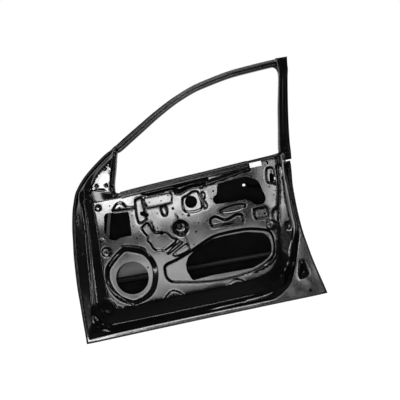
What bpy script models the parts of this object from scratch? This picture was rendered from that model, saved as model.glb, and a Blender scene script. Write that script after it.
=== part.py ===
"""Shell of a right front car door: pressed inner panel, hemmed skin, window frame and reinforcements.

Metres, +Z up. X runs from the hinge edge to the lock edge, +Y from the passenger side to the outside.
Y is zero on the trim plane, the flat of the inner panel that the trim panel lies on. Places are shares
of the door's length along X and of its height along Z. The whole door hangs from an empty, so that the
world origin is at the middle of the lower hinge face.
"""

import math

import bmesh
import bpy
from mathutils import Vector
from mathutils.bvhtree import BVHTree
from mathutils.geometry import barycentric_transform, delaunay_2d_cdt

DOOR_LENGTH = 1.100
DOOR_HEIGHT = 1.100
FLANGE_DEPTH = 0.118        # trim plane to the flange, where the door is fullest
BARREL_RADIUS = 2.500       # the door's curve from sill to roof
BARREL_CENTRE_SHARE = 0.345
PLAN_RADIUS = 10.000        # the door's curve from hinge edge to lock edge
PLAN_CENTRE_SHARE = 0.500
SAIL_DEPTH = 0.025          # trim plane to the mirror plate

PANEL_SHEET = 0.0008
SKIN_SHEET = 0.0007
FRAME_SHEET = 0.0012
PLATE_SHEET = 0.0016
CLEARANCE = 0.0003          # between pieces that touch
HEM_LAP = 0.0075
BELT_FLANGE = 0.012
BELT_FLANGE_SHARES = (0.1, 0.5, 1.0)
BELT_FLANGE_FIRST = 4       # the first of the skin's top corners that carries the flange
MESH_PITCH = 0.060
CURVE_STEPS = 2
CURVE_STEPS_SHORT = 1
CURVE_STEPS_LONG = 8
BISECTION_STEPS = 24
BEAM_SIDES = 16

DEEP = 0.018
MIDDLE = 0.010
SHALLOW = 0.005
BEAD = 0.003
WIDE_WALL = 0.022
WALL = 0.008
STEEP_WALL = 0.004

SPEAKER_RADIUS = 0.074
ROUND_WINDOW_RADIUS = 0.028
HEX_HOLE_RADIUS = 0.011
LARGE_HOLE = 0.007
MEDIUM_HOLE = 0.005
SMALL_HOLE = 0.0038
BOSS_RADIUS = 0.022
PAD_RADIUS = 0.014
MIRROR_BOSS_RADIUS = 0.0070
HINGE_PAD_LENGTH = 0.036
HINGE_PAD_HEIGHT = 0.070
CHECK_PAD_LENGTH = 0.034
CHECK_PAD_HEIGHT = 0.056
PAD_WALL = 0.006

BEAM_RADIUS = 0.0155
BEAM_WALL = 0.0022
RUN_WIDTH = 0.016
RUN_DEPTH = 0.014
RUN_SHEET = 0.0010
RUN_SHARES = (-1.0, -0.5, 0.0, 0.5, 1.0)
LABEL_THICKNESS = 0.0004
NUT_RADIUS = 0.0085
NUT_HEIGHT = 0.0070
NUT_BORE = 0.0042

BLACK_PRIMER = (0.015, 0.015, 0.016, 1.0)
ZINC_STEEL = (0.020, 0.020, 0.021, 1.0)
PAPER_WHITE = (0.85, 0.85, 0.84, 1.0)

# Rows round the door, anticlockwise as the passenger side shows it. Each row crosses the perimeter from
# the flange's edge inward: edge, flange foot, wall top, land edge, slope foot, step foot, flat's edge.
PERIMETER_SHARES = (
    ("sill", ((.220, -.009), (.220, .012), (.220, .020), (.220, .048),
              (.220, .055), (.220, .107), (.220, .112))),
    ("sill", ((.427, -.009), (.427, .012), (.428, .020), (.428, .048),
              (.428, .055), (.430, .107), (.430, .112))),
    ("sill", ((.621, -.009), (.621, .012), (.621, .020), (.621, .048),
              (.621, .055), (.620, .107), (.620, .112))),
    ("sill", ((.723, -.009), (.722, .012), (.720, .020), (.717, .048),
              (.714, .056), (.700, .108), (.699, .113))),
    ("sill_rear", ((.804, -.009), (.789, .013), (.783, .026), (.778, .044),
                   (.772, .062), (.745, .113), (.743, .118))),
    ("corner", ((.886, -.009), (.843, .040), (.830, .050), (.821, .066),
                (.811, .080), (.782, .122), (.779, .127))),
    ("corner_rear", ((.957, -.009), (.872, .067), (.855, .073), (.843, .088),
                     (.834, .099), (.812, .140), (.808, .145))),
    ("rear_point", ((1.006, -.008), (.891, .104), (.873, .109), (.861, .116),
                    (.853, .120), (.834, .165), (.829, .168))),
    ("lock_low", ((.997, .040), (.904, .134), (.890, .141), (.877, .145),
                  (.869, .145), (.846, .195), (.840, .196))),
    ("lock", ((.986, .095), (.916, .165), (.902, .170), (.889, .178),
              (.884, .179), (.853, .225), (.847, .226))),
    ("lock", ((.977, .146), (.928, .202), (.915, .207), (.903, .214),
              (.898, .215), (.857, .255), (.851, .255))),
    ("lock", ((.970, .197), (.940, .239), (.929, .244), (.918, .250),
              (.912, .250), (.861, .285), (.855, .286))),
    ("lock", ((.962, .262), (.947, .285), (.939, .288), (.929, .292),
              (.922, .292), (.868, .315), (.861, .316))),
    ("lock", ((.959, .330), (.947, .332), (.939, .332), (.928, .334),
              (.918, .335), (.874, .345), (.867, .346))),
    ("lock", ((.959, .398), (.947, .398), (.940, .398), (.928, .399),
              (.915, .400), (.884, .400), (.876, .400))),
    ("lock", ((.961, .460), (.949, .460), (.941, .460), (.930, .460),
              (.922, .460), (.897, .455), (.888, .455))),
    ("lock", ((.967, .510), (.954, .511), (.943, .510), (.932, .510),
              (.925, .510), (.902, .500), (.894, .500))),
    ("lock", ((.971, .548), (.958, .546), (.947, .546), (.935, .545),
              (.927, .545), (.907, .545), (.899, .545))),
    ("lock_end", ((.9715, .556), (.9595, .5555), (.948, .555), (.936, .555),
                  (.928, .555), (.9145, .555), (.9065, .555))),
    ("lock_top", ((.9545, .559), (.951, .559), (.9472, .559), (.9365, .561),
                  (.929, .562), (.9155, .562), (.907, .562))),
    ("shoulder", ((.949, .574), (.948, .5735), (.9462, .573), (.937, .574),
                  (.930, .575), (.916, .5735), (.908, .572))),
    ("belt_rear", ((.945, .601), (.941, .598), (.937, .596), (.931, .594),
                   (.925, .592), (.914, .588), (.907, .585))),
    ("belt", ((.890, .598), (.890, .5965), (.890, .595), (.890, .5935),
              (.890, .592), (.889, .590), (.888, .587))),
    ("belt", ((.790, .595), (.790, .5935), (.790, .592), (.790, .5905),
              (.790, .589), (.790, .587), (.790, .584))),
    ("belt", ((.600, .588), (.600, .5865), (.600, .585), (.600, .5835),
              (.600, .582), (.600, .580), (.600, .577))),
    ("belt", ((.400, .584), (.400, .5825), (.400, .581), (.400, .5795),
              (.400, .578), (.400, .576), (.400, .573))),
    ("belt", ((.300, .580), (.300, .5785), (.300, .577), (.300, .5755),
              (.300, .574), (.299, .572), (.297, .569))),
    ("sail_foot", ((.247, .576), (.246, .5745), (.245, .573), (.244, .571),
                   (.243, .569), (.240, .566), (.237, .562))),
    ("sail_foot", ((.236, .582), (.234, .581), (.232, .580), (.229, .579),
                   (.226, .578), (.222, .575), (.219, .571))),
    ("sail", ((.240, .615), (.2385, .615), (.236, .615), (.232, .616),
              (.229, .617), (.224, .618), (.220, .619))),
    ("sail", ((.259, .675), (.2575, .675), (.255, .676), (.251, .677),
              (.248, .678), (.243, .679), (.239, .680))),
    ("sail", ((.276, .733), (.2745, .733), (.272, .733), (.268, .733),
              (.265, .732), (.2595, .7255), (.2545, .721))),
    ("apex", ((.287, .7545), (.283, .7525), (.277, .748), (.273, .745),
              (.269, .742), (.2615, .7335), (.254, .7245))),
    ("apex", ((.2745, .7725), (.273, .7655), (.268, .758), (.266, .751),
              (.264, .746), (.2585, .736), (.2525, .726))),
    ("pillar", ((.240, .754), (.243, .746), (.244, .743), (.247, .737),
                (.248, .733), (.249, .7285), (.2495, .7235))),
    ("pillar", ((.212, .739), (.216, .731), (.218, .728), (.220, .722),
                (.222, .718), (.226, .713), (.229, .708))),
    ("pillar", ((.157, .702), (.162, .694), (.164, .691), (.168, .686),
                (.170, .683), (.176, .679), (.180, .674))),
    ("pillar", ((.119, .672), (.125, .665), (.128, .662), (.132, .658),
                (.136, .655), (.149, .648), (.153, .643))),
    ("pillar_low", ((.091, .644), (.099, .638), (.103, .636), (.110, .633),
                    (.116, .630), (.139, .624), (.145, .621))),
    ("pillar_foot", ((.067, .612), (.076, .608), (.084, .607), (.097, .606),
                     (.106, .605), (.131, .605), (.140, .606))),
    ("hinge", ((.051, .575), (.061, .573), (.080, .573), (.098, .573),
               (.103, .573), (.130, .575), (.138, .576))),
    ("hinge", ((.038, .537), (.048, .537), (.081, .537), (.097, .537),
               (.102, .537), (.130, .540), (.137, .541))),
    ("hinge", ((.023, .473), (.033, .473), (.078, .473), (.092, .473),
               (.097, .474), (.127, .475), (.134, .475))),
    ("hinge", ((.014, .417), (.024, .417), (.072, .417), (.087, .418),
               (.092, .418), (.124, .420), (.131, .420))),
    ("hinge", ((.005, .361), (.015, .361), (.064, .361), (.080, .361),
               (.085, .361), (.120, .360), (.127, .360))),
    ("hinge", ((-.002, .296), (.008, .296), (.057, .296), (.072, .297),
               (.077, .297), (.115, .300), (.122, .300))),
    ("hinge", ((-.008, .221), (.002, .221), (.048, .222), (.063, .223),
               (.068, .224), (.112, .226), (.119, .226))),
    ("hinge", ((-.010, .150), (.000, .150), (.038, .151), (.056, .152),
               (.061, .153), (.109, .160), (.116, .162))),
    ("hinge_low", ((-.012, .095), (-.002, .097), (.028, .096), (.057, .108),
                   (.063, .109), (.110, .135), (.118, .138))),
    ("hinge_low", ((-.013, .030), (-.002, .040), (.025, .070), (.065, .086),
                   (.071, .089), (.118, .118), (.125, .123))),
    ("front_point", ((-.014, -.008), (-.001, .006), (.036, .047), (.082, .063),
                     (.087, .068), (.132, .109), (.136, .114))),
    ("sill_front", ((.040, -.009), (.042, .010), (.066, .024), (.113, .053),
                    (.116, .058), (.150, .107), (.150, .112))),
)

# How deep each line of a row lies, as shares of the flange's depth at that place.
SECTION_SHARES = {
    "sill": (1, 1, .81, .75, .67, .04), "sill_rear": (1, 1, .81, .74, .60, .05),
    "corner": (1, 1, .82, .60, .45, .06), "corner_rear": (1, 1, .82, .50, .32, .07),
    "rear_point": (1, 1, .80, .40, .20, .08), "lock_low": (1, 1, .79, .35, .14, .08),
    "lock": (1, 1, .77, .30, .11, .08), "lock_end": (.985, .985, .77, .30, .11, .08),
    "lock_top": (.87, .84, .79, .30, .11, .08), "shoulder": (.825, .815, .80, .30, .11, .08),
    "belt_rear": (.62, .52, .40, .27, .14, .07),
    "belt": (.14, .12, .10, .08, .05, .02), "sail_foot": (.40, .37, .34, .32, .30, .20),
    "sail": (.56, .50, .36, .36, .46, .46), "apex": (.62, .58, .50, .46, .46, .44),
    "pillar": (1, 1, .86, .62, .57, .43), "pillar_low": (1, 1, .80, .60, .50, .32),
    "pillar_foot": (1, 1, .62, .52, .42, .17), "hinge": (1, 1, .48, .43, .37, .06),
    "hinge_low": (1, 1, .55, .50, .44, .06), "front_point": (1, 1, .66, .60, .53, .05),
    "sill_front": (1, 1, .76, .70, .62, .04),
}
SHARP_SECTIONS = ("rear_point", "front_point", "sail_foot", "apex", "lock_end", "lock_top", "shoulder")
LINE_NAMES = ("edge", "flange", "wall_foot", "land_outer", "land_inner", "wall_top", "flat")
SHARP_LINES = ("edge", "flange")
HEM_FROM = "pillar"         # hemmed from the pillar's top, down the front and along the sill
HEM_TO = "lock"

OPENING_SHARES = {
    "square": ((.173, .400), (.186, .391), (.205, .389), (.215, .395), (.266, .395), (.273, .475),
               (.274, .493), (.214, .499), (.205, .504), (.180, .505), (.172, .497), (.166, .470),
               (.159, .430)),
    "upper": ((.648, .520), (.645, .500), (.640, .487), (.625, .480), (.620, .469), (.622, .457), (.632, .447),
              (.700, .444), (.735, .443), (.760, .440), (.775, .425), (.790, .412), (.806, .408), (.822, .412),
              (.832, .422), (.834, .440), (.823, .490), (.818, .507), (.785, .531), (.765, .535), (.700, .532),
              (.655, .529)),
    "lower": ((.473, .162), (.560, .166), (.640, .163), (.725, .161), (.770, .176), (.795, .190), (.812, .207),
              (.818, .235), (.815, .264), (.805, .284), (.791, .295), (.727, .312), (.636, .315), (.582, .312),
              (.509, .284), (.474, .262), (.458, .235), (.456, .205), (.466, .176)),
    "mirror": ((.173, .636), (.183, .631), (.215, .628), (.222, .634), (.226, .655), (.223, .663),
               (.213, .667), (.198, .668)),
    "key": ((.318, .484), (.316, .467), (.330, .462), (.339, .456), (.352, .457), (.353, .471), (.340, .475),
            (.333, .480)),
    "teardrop": ((.866, .498), (.869, .491), (.880, .489), (.888, .494), (.889, .503), (.882, .524),
                 (.875, .528), (.869, .523)),
    "hook": ((.864, .580), (.863, .576), (.868, .572), (.868, .564), (.873, .563), (.875, .570), (.873, .578)),
}

ROUND_HOLE_SHARES = {
    "large": ((.241, .514), (.454, .468), (.511, .427)),
    "medium": ((.214, .676), (.225, .697), (.303, .253), (.526, .355), (.630, .503), (.816, .370), (.383, .121)),
    "small": ((.203, .532), (.284, .473), (.280, .431), (.285, .380), (.301, .387), (.445, .525), (.365, .513),
              (.388, .462), (.375, .403), (.487, .436), (.508, .306), (.544, .389), (.577, .388), (.428, .285),
              (.615, .475), (.858, .473), (.879, .452), (.870, .437), (.858, .364), (.861, .335), (.831, .320),
              (.405, .528), (.413, .509), (.150, .347), (.463, .391)),
}

# Pressed features: how deep they go outward (less than none: toward the passenger), the width of their
# wall, and their outline where the wall meets the sheet round it.
FEATURES = {
    "speaker_seat": (MIDDLE, WIDE_WALL),
    "lower_seat": (MIDDLE, WALL),
    "regulator_plate": (SHALLOW, WALL),
    "regulator_bar": (-SHALLOW, STEEP_WALL),
    "regulator_step": (-BEAD, STEEP_WALL),
    "belt_recess": (DEEP, WIDE_WALL),
    "belt_plate": (-BEAD, STEEP_WALL),
    "bracket_recess": (MIDDLE, WALL),
    "handle_pocket": (MIDDLE, WALL),
    "round_window_pad": (SHALLOW, WALL),
    "lock_bracket": (SHALLOW, STEEP_WALL),
    "wave_recess": (DEEP, WALL),
    "square_recess": (MIDDLE, WALL),
    "edge_pad": (SHALLOW, WALL),
    "rear_plate": (SHALLOW, WALL),
    "eyebrow": (-SHALLOW, WALL),
    "front_gusset": (-BEAD, WALL),
    "rear_gusset": (-BEAD, WALL),
    "corner_pocket": (-MIDDLE, WIDE_WALL),
    "lower_shelf": (SHALLOW, WALL),
}
FEATURE_SHARES = {
    "speaker_seat": ((.122, .232), (.128, .200), (.140, .172), (.160, .146), (.190, .125), (.215, .114),
                     (.245, .117), (.285, .131), (.315, .158), (.334, .200), (.341, .240), (.336, .275),
                     (.322, .305), (.300, .328), (.262, .346), (.226, .356), (.195, .342), (.160, .315),
                     (.135, .290), (.125, .262)),
    "lower_seat": ((.365, .218), (.367, .195), (.385, .173), (.425, .162), (.505, .146), (.600, .137),
                   (.682, .141), (.727, .147), (.782, .167), (.818, .193), (.830, .227), (.833, .270),
                   (.820, .299), (.782, .315), (.727, .327), (.640, .329), (.592, .325), (.545, .309),
                   (.491, .286), (.427, .264), (.373, .249)),
    "regulator_plate": ((.341, .436), (.312, .421), (.308, .412), (.318, .390), (.326, .375), (.321, .360),
                        (.332, .344), (.338, .325), (.352, .310), (.370, .308), (.388, .304), (.448, .338),
                        (.428, .354), (.407, .381), (.370, .386), (.361, .394)),
    "regulator_bar": ((.396, .298), (.401, .289), (.462, .321), (.459, .331), (.450, .330)),
    "regulator_step": ((.416, .288), (.427, .273), (.487, .288), (.480, .316), (.472, .316)),
    "belt_recess": ((.340, .562), (.352, .540), (.460, .540), (.474, .524), (.500, .519), (.530, .529),
                    (.560, .532), (.590, .524), (.610, .545), (.600, .566), (.346, .566)),
    "belt_plate": ((.352, .537), (.350, .495), (.360, .488), (.450, .490), (.456, .496), (.455, .536)),
    "bracket_recess": ((.301, .440), (.334, .440), (.342, .450), (.340, .535), (.336, .543), (.318, .540),
                       (.304, .527)),
    "handle_pocket": ((.403, .486), (.404, .450), (.418, .443), (.430, .452), (.430, .484), (.420, .489)),
    "round_window_pad": ((.498, .443), (.570, .440), (.572, .512), (.545, .522), (.522, .511), (.497, .500)),
    "lock_bracket": ((.578, .443), (.594, .443), (.594, .462), (.586, .475), (.594, .488), (.594, .506),
                     (.578, .506)),
    "wave_recess": ((.588, .372), (.592, .362), (.604, .357), (.716, .352), (.728, .360), (.729, .382),
                    (.722, .390), (.700, .393), (.662, .381), (.644, .386), (.622, .401), (.604, .402),
                    (.590, .392)),
    "square_recess": ((.772, .362), (.780, .353), (.824, .352), (.834, .360), (.834, .390), (.826, .398),
                      (.782, .399), (.773, .392)),
    "edge_pad": ((.846, .330), (.857, .318), (.872, .316), (.884, .388), (.864, .384), (.848, .374),
                 (.843, .352)),
    "rear_plate": ((.850, .494), (.872, .482), (.882, .474), (.889, .479), (.891, .505), (.891, .546),
                   (.860, .549)),
    "eyebrow": ((.208, .512), (.220, .528), (.233, .538), (.250, .539), (.262, .530), (.272, .515), (.298, .509),
                (.298, .500), (.225, .505)),
    "front_gusset": ((.340, .108), (.383, .144), (.428, .108)),
    "rear_gusset": ((.604, .108), (.645, .136), (.684, .110)),
    "corner_pocket": ((.905, .074), (.932, .072), (.950, .082), (.948, .112), (.938, .140), (.918, .138)),
    "lower_shelf": ((.636, .422), (.652, .404), (.724, .401), (.752, .424), (.700, .434)),
}

# Round pressed bosses and dimples: place, depth and radius are each feature's own.
ROUND_FEATURES = {
    "front_boss": (SHALLOW, BOSS_RADIUS),
    "front_low_dimple": (MIDDLE, PAD_RADIUS),
    "front_top_dimple": (SHALLOW, PAD_RADIUS),
    "rear_boss": (-SHALLOW, BOSS_RADIUS),
    "lock_dimple": (MIDDLE, PAD_RADIUS),
    "centre_recess": (MIDDLE, BOSS_RADIUS + PAD_RADIUS),
    "mirror_front_dimple": (SHALLOW, MIRROR_BOSS_RADIUS),
    "mirror_rear_dimple": (SHALLOW, MIRROR_BOSS_RADIUS),
    "mirror_top_dimple": (SHALLOW, MIRROR_BOSS_RADIUS),
}
ROUND_FEATURE_SHARES = {
    "front_boss": (.150, .350), "front_low_dimple": (.108, .119), "front_top_dimple": (.154, .532),
    "rear_boss": (.831, .320), "lock_dimple": (.902, .300), "centre_recess": (.468, .384),
    "mirror_front_dimple": (.164, .625), "mirror_rear_dimple": (.205, .619),
    "mirror_top_dimple": (.212, .688),
}

HINGE_PAD_SHARES = {"lower": (.020, .160), "upper": (.058, .497)}
CHECK_PAD_SHARE = (.0365, .329)
SPEAKER_SHARE = (.232, .224)
ROUND_WINDOW_SHARE = (.532, .479)
HEX_HOLE_SHARE = (.388, .380)
LATCH_SHARE = (.9355, .480)

SAIL_FOLD_LOW_SHARE = 0.558
SAIL_FOLD_TOP_SHARES = ((.150, .608), (.235, .574))

HEADER_SHARES = (
    (.2705, .771, .0350), (.324, .802, .0355), (.398, .842, .0335), (.454, .872, .0320), (.527, .9065, .0300),
    (.582, .928, .0295), (.636, .9455, .0295), (.6915, .957, .0300), (.765, .969, .0305), (.819, .9745, .0310),
    (.892, .9775, .0315), (.950, .979, .0315), (.9872, .9793, .0315),
)
# The rolled section: shares of the frame's width across it, and of its depth from the outer face.
HEADER_SECTION_SHARES = (
    (.02, .00), (.18, .10), (.26, .62), (.34, .80), (.48, .82), (.53, .68), (.62, .68), (.67, .90),
    (.81, .92), (.86, .76), (.94, .74), (.97, .10), (.97, -.08), (.30, -.12),
)
FRAME_DEPTH = 0.026
SASH_SHARES = (
    (.567, .9265, .9790), (.600, .9285, .9830), (.630, .9325, .9852), (.695, .9455, .9935),
    (.777, .9605, 1.0063), (.859, .9785, 1.0207), (.905, .9880, 1.0295), (.930, .9895, 1.0350),
    (.946, .9880, 1.0362), (.9795, .9875, 1.0404),
)
SASH_COVER_SHARES = (.02, .35, .68, .98)
SASH_SECTION_SHARES = (
    (.00, .06), (.03, .78), (.08, 1.0), (.17, 1.02), (.22, .62), (.40, .60), (.55, .28), (.74, .24), (.80, .04),
    (1.0, .00),
)

BEAM_HEIGHT_SHARES = (.2235, .1945)
BEAM_DEPTH_SHARE = 0.80
BRACKET_FRONT_SHARES = ((.012, .204), (.044, .204), (.048, .258), (.010, .258))
BRACKET_REAR_SHARES = ((.884, .172), (.909, .172), (.925, .222), (.902, .222))

FRONT_RUN_SHARES = ((.2570, .712), (.2265, .617), (.2185, .590), (.1770, .455), (.1500, .359))
REAR_RUN_SHARES = ((.9300, .5664), (.9030, .430), (.8760, .300))

MIRROR_PLATE_SHARES = ((.153, .610), (.208, .592), (.2145, .619), (.226, .672), (.220, .697), (.205, .688),
                       (.184, .673), (.1585, .645))
LATCH_PLATE_SHARES = ((.9020, .425), (.9385, .425), (.9410, .530), (.9140, .530))
CHECK_PLATE_SHARES = ((.014, .300), (.052, .300), (.058, .358), (.020, .358))
HINGE_PLATE_SHARES = {
    "lower": ((.003, .120), (.032, .120), (.040, .198), (.003, .198)),
    "upper": ((.036, .452), (.076, .452), (.080, .532), (.053, .532)),
}
HANDLE_PLATE_SHARES = ((.750, .470), (.925, .470), (.925, .534), (.750, .534))
HANDLE_BOWL_SHARES = ((.782, .490), (.812, .482), (.852, .482), (.876, .490), (.884, .502), (.876, .514),
                      (.852, .522), (.812, .522), (.782, .514), (.774, .502))
HANDLE_SLOT_SHARES = (((.756, .497), (.768, .497), (.768, .507), (.756, .507)),
                      ((.892, .495), (.918, .495), (.918, .509), (.892, .509)))
SKIN_TOP_SHARES = ((.9725, .5615), (.943, .5625), (.918, .564), (.911, .574), (.900, .5825), (.790, .5815),
                   (.600, .5765), (.400, .5720), (.300, .5680), (.240, .5680), (.2260, .5745), (.2290, .615),
                   (.2500, .675), (.2665, .728), (.2625, .742), (.2520, .7510))
SKIN_MIRROR_SHARES = ((.158, .640), (.185, .616), (.222, .612), (.228, .636), (.233, .666), (.222, .680),
                      (.196, .678), (.175, .662))
SKIN_CREASE_SHARES = ((.052, .373), (.938, .373), (.938, .537), (.052, .537))
SKIN_CREASE_DEPTH = 0.004
SKIN_CREASE_WALL = 0.087
HANDLE_BOWL_DEPTH = 0.011
HANDLE_BOWL_WALL = 0.010

OUTER_RAIL_SHARES = ((.130, .540), (.540, .546), (.950, .552), (.950, .578), (.540, .572), (.130, .566))
INNER_RAIL_SHARES = ((.256, .5790), (.300, .5815), (.400, .5850), (.600, .5895), (.700, .5930), (.789, .5960))
# The belt rail's corrugation: distance below its top edge and distance toward the passenger.
RAIL_HEIGHT = 0.0310
RAIL_DEPTH = 0.0070
RAIL_SECTION_SHARES = ((.00, .10), (.18, .20), (.27, .80), (.50, 1.0), (.57, .62), (.66, .62), (.72, 1.0),
                       (.92, .90), (1.0, .10))
LABEL_SHARES = ((.7975, .5640), (.8460, .5640), (.8460, .5835), (.7975, .5835))

HINGE_NUT_SPACING = 0.036
LATCH_NUT_SPACING = 0.022
CHECK_NUT_SPACING = 0.034


def point(share):
    """A place in metres from a pair of shares."""
    return Vector((share[0] * DOOR_LENGTH, share[1] * DOOR_HEIGHT))


def points(shares):
    return [point(share) for share in shares]


def flange_depth(x, z):
    """Depth of the door's outer barrel behind the trim plane."""
    rise = z - BARREL_CENTRE_SHARE * DOOR_HEIGHT
    run = x - PLAN_CENTRE_SHARE * DOOR_LENGTH
    return FLANGE_DEPTH - rise * rise / (2 * BARREL_RADIUS) - run * run / (2 * PLAN_RADIUS)


def trim_depth(x, z):
    """Depth of the flat inside the perimeter: the trim plane, folded outward at the sail."""
    (left, top_left), (right, top_right) = SAIL_FOLD_TOP_SHARES
    across = (x / DOOR_LENGTH - left) / (right - left)
    top = top_left + min(across, 1) * (top_right - top_left)
    up = (z / DOOR_HEIGHT - SAIL_FOLD_LOW_SHARE) / (top - SAIL_FOLD_LOW_SHARE)
    fade = min(max(2 - across, 0), 1)
    return SAIL_DEPTH * fade * min(max(up, 0), 1)


def hermite(before, start, end, after, share, grip_start, grip_end):
    """A point on the curve from start to end; a grip of zero makes a sharp corner."""
    tangent_start = (end - before) * 0.5 * grip_start
    tangent_end = (after - start) * 0.5 * grip_end
    square = share * share
    cube = square * share
    return (start * (2 * cube - 3 * square + 1) + tangent_start * (cube - 2 * square + share)
            + end * (3 * square - 2 * cube) + tangent_end * (cube - square))


def smooth_rows(rows, grips, steps, closed):
    """Curves through rows of matched points, with the same number of steps between each two rows."""
    count = len(rows)
    spans = count if closed else count - 1
    result = []
    for index in range(spans):
        if closed:
            picks = [(index - 1) % count, index, (index + 1) % count, (index + 2) % count]
        else:
            picks = [max(index - 1, 0), index, index + 1, min(index + 2, count - 1)]
        for step in range(steps):
            share = step / steps
            result.append([
                hermite(*(rows[pick][line] for pick in picks), share,
                        grips[picks[1]][line], grips[picks[2]][line])
                for line in range(len(rows[0]))])
    if not closed:
        result.append(list(rows[-1]))
    return result


def smooth_outline(outline, steps):
    """A closed outline rounded through its corners."""
    return [row[0] for row in smooth_rows([[corner] for corner in outline], [[1]] * len(outline), steps, True)]


def circle(centre, radius, count, turn=0.0):
    return [centre + radius * Vector((math.cos(turn + math.tau * step / count),
                                      math.sin(turn + math.tau * step / count))) for step in range(count)]


def area(outline):
    return sum(a.x * b.y - b.x * a.y for a, b in zip(outline, outline[1:] + outline[:1])) / 2


def offset_outline(outline, distance):
    """Move a closed outline outward, or inward where the distance is less than none."""
    sign = 1 if area(outline) > 0 else -1
    moved = []
    for before, here, after in zip(outline[-1:] + outline[:-1], outline, outline[1:] + outline[:1]):
        one = (here - before).normalized()
        two = (after - here).normalized()
        normal = Vector((one.y + two.y, -one.x - two.x))
        if normal.length < 1e-6:
            normal = Vector((one.y, -one.x)) * 2
        spread = max(normal.length_squared / 2, 0.6)
        moved.append(here + normal * (sign * distance / spread))
    return moved


def is_inside(spot, outline):
    inside = False
    for a, b in zip(outline, outline[1:] + outline[:1]):
        if (a.y > spot.y) != (b.y > spot.y):
            if spot.x < a.x + (spot.y - a.y) * (b.x - a.x) / (b.y - a.y):
                inside = not inside
    return inside


def distance_to(spot, outline):
    """Distance from a place to an outline, more than none inside it."""
    nearest = math.inf
    for a, b in zip(outline, outline[1:] + outline[:1]):
        edge = b - a
        along = min(max((spot - a).dot(edge) / max(edge.length_squared, 1e-12), 0), 1)
        nearest = min(nearest, (a + edge * along - spot).length)
    return nearest if is_inside(spot, outline) else -nearest


def ramp(distance, wall):
    return min(max(distance / wall, 0), 1)


def triangulate(border, holes, lines, pitch):
    """Triangles inside a border and outside its holes, with the lines as edges."""
    spots, edges = [], []
    for outline in [border] + holes + lines:
        first = len(spots)
        spots.extend(outline)
        edges.extend((first + step, first + (step + 1) % len(outline)) for step in range(len(outline)))
    low_x, high_x = min(p.x for p in border), max(p.x for p in border)
    low_z, high_z = min(p.y for p in border), max(p.y for p in border)
    for row in range(1, int((high_z - low_z) / pitch) + 1):
        for column in range(1, int((high_x - low_x) / pitch) + 1):
            spot = Vector((low_x + (column + row % 2 / 2) * pitch, low_z + row * pitch))
            if distance_to(spot, border) < pitch / 3:
                continue
            if any(abs(distance_to(spot, hole)) < pitch / 3 for hole in holes):
                continue
            spots.append(spot)
    flat, _, faces, _, _, _ = delaunay_2d_cdt(spots, edges, [], 0, 1e-6)
    kept = []
    for face in faces:
        middle = sum((flat[corner] for corner in face), Vector((0, 0))) / 3
        if is_inside(middle, border) and not any(is_inside(middle, hole) for hole in holes):
            kept.append(tuple(face))
    return flat, kept


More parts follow.
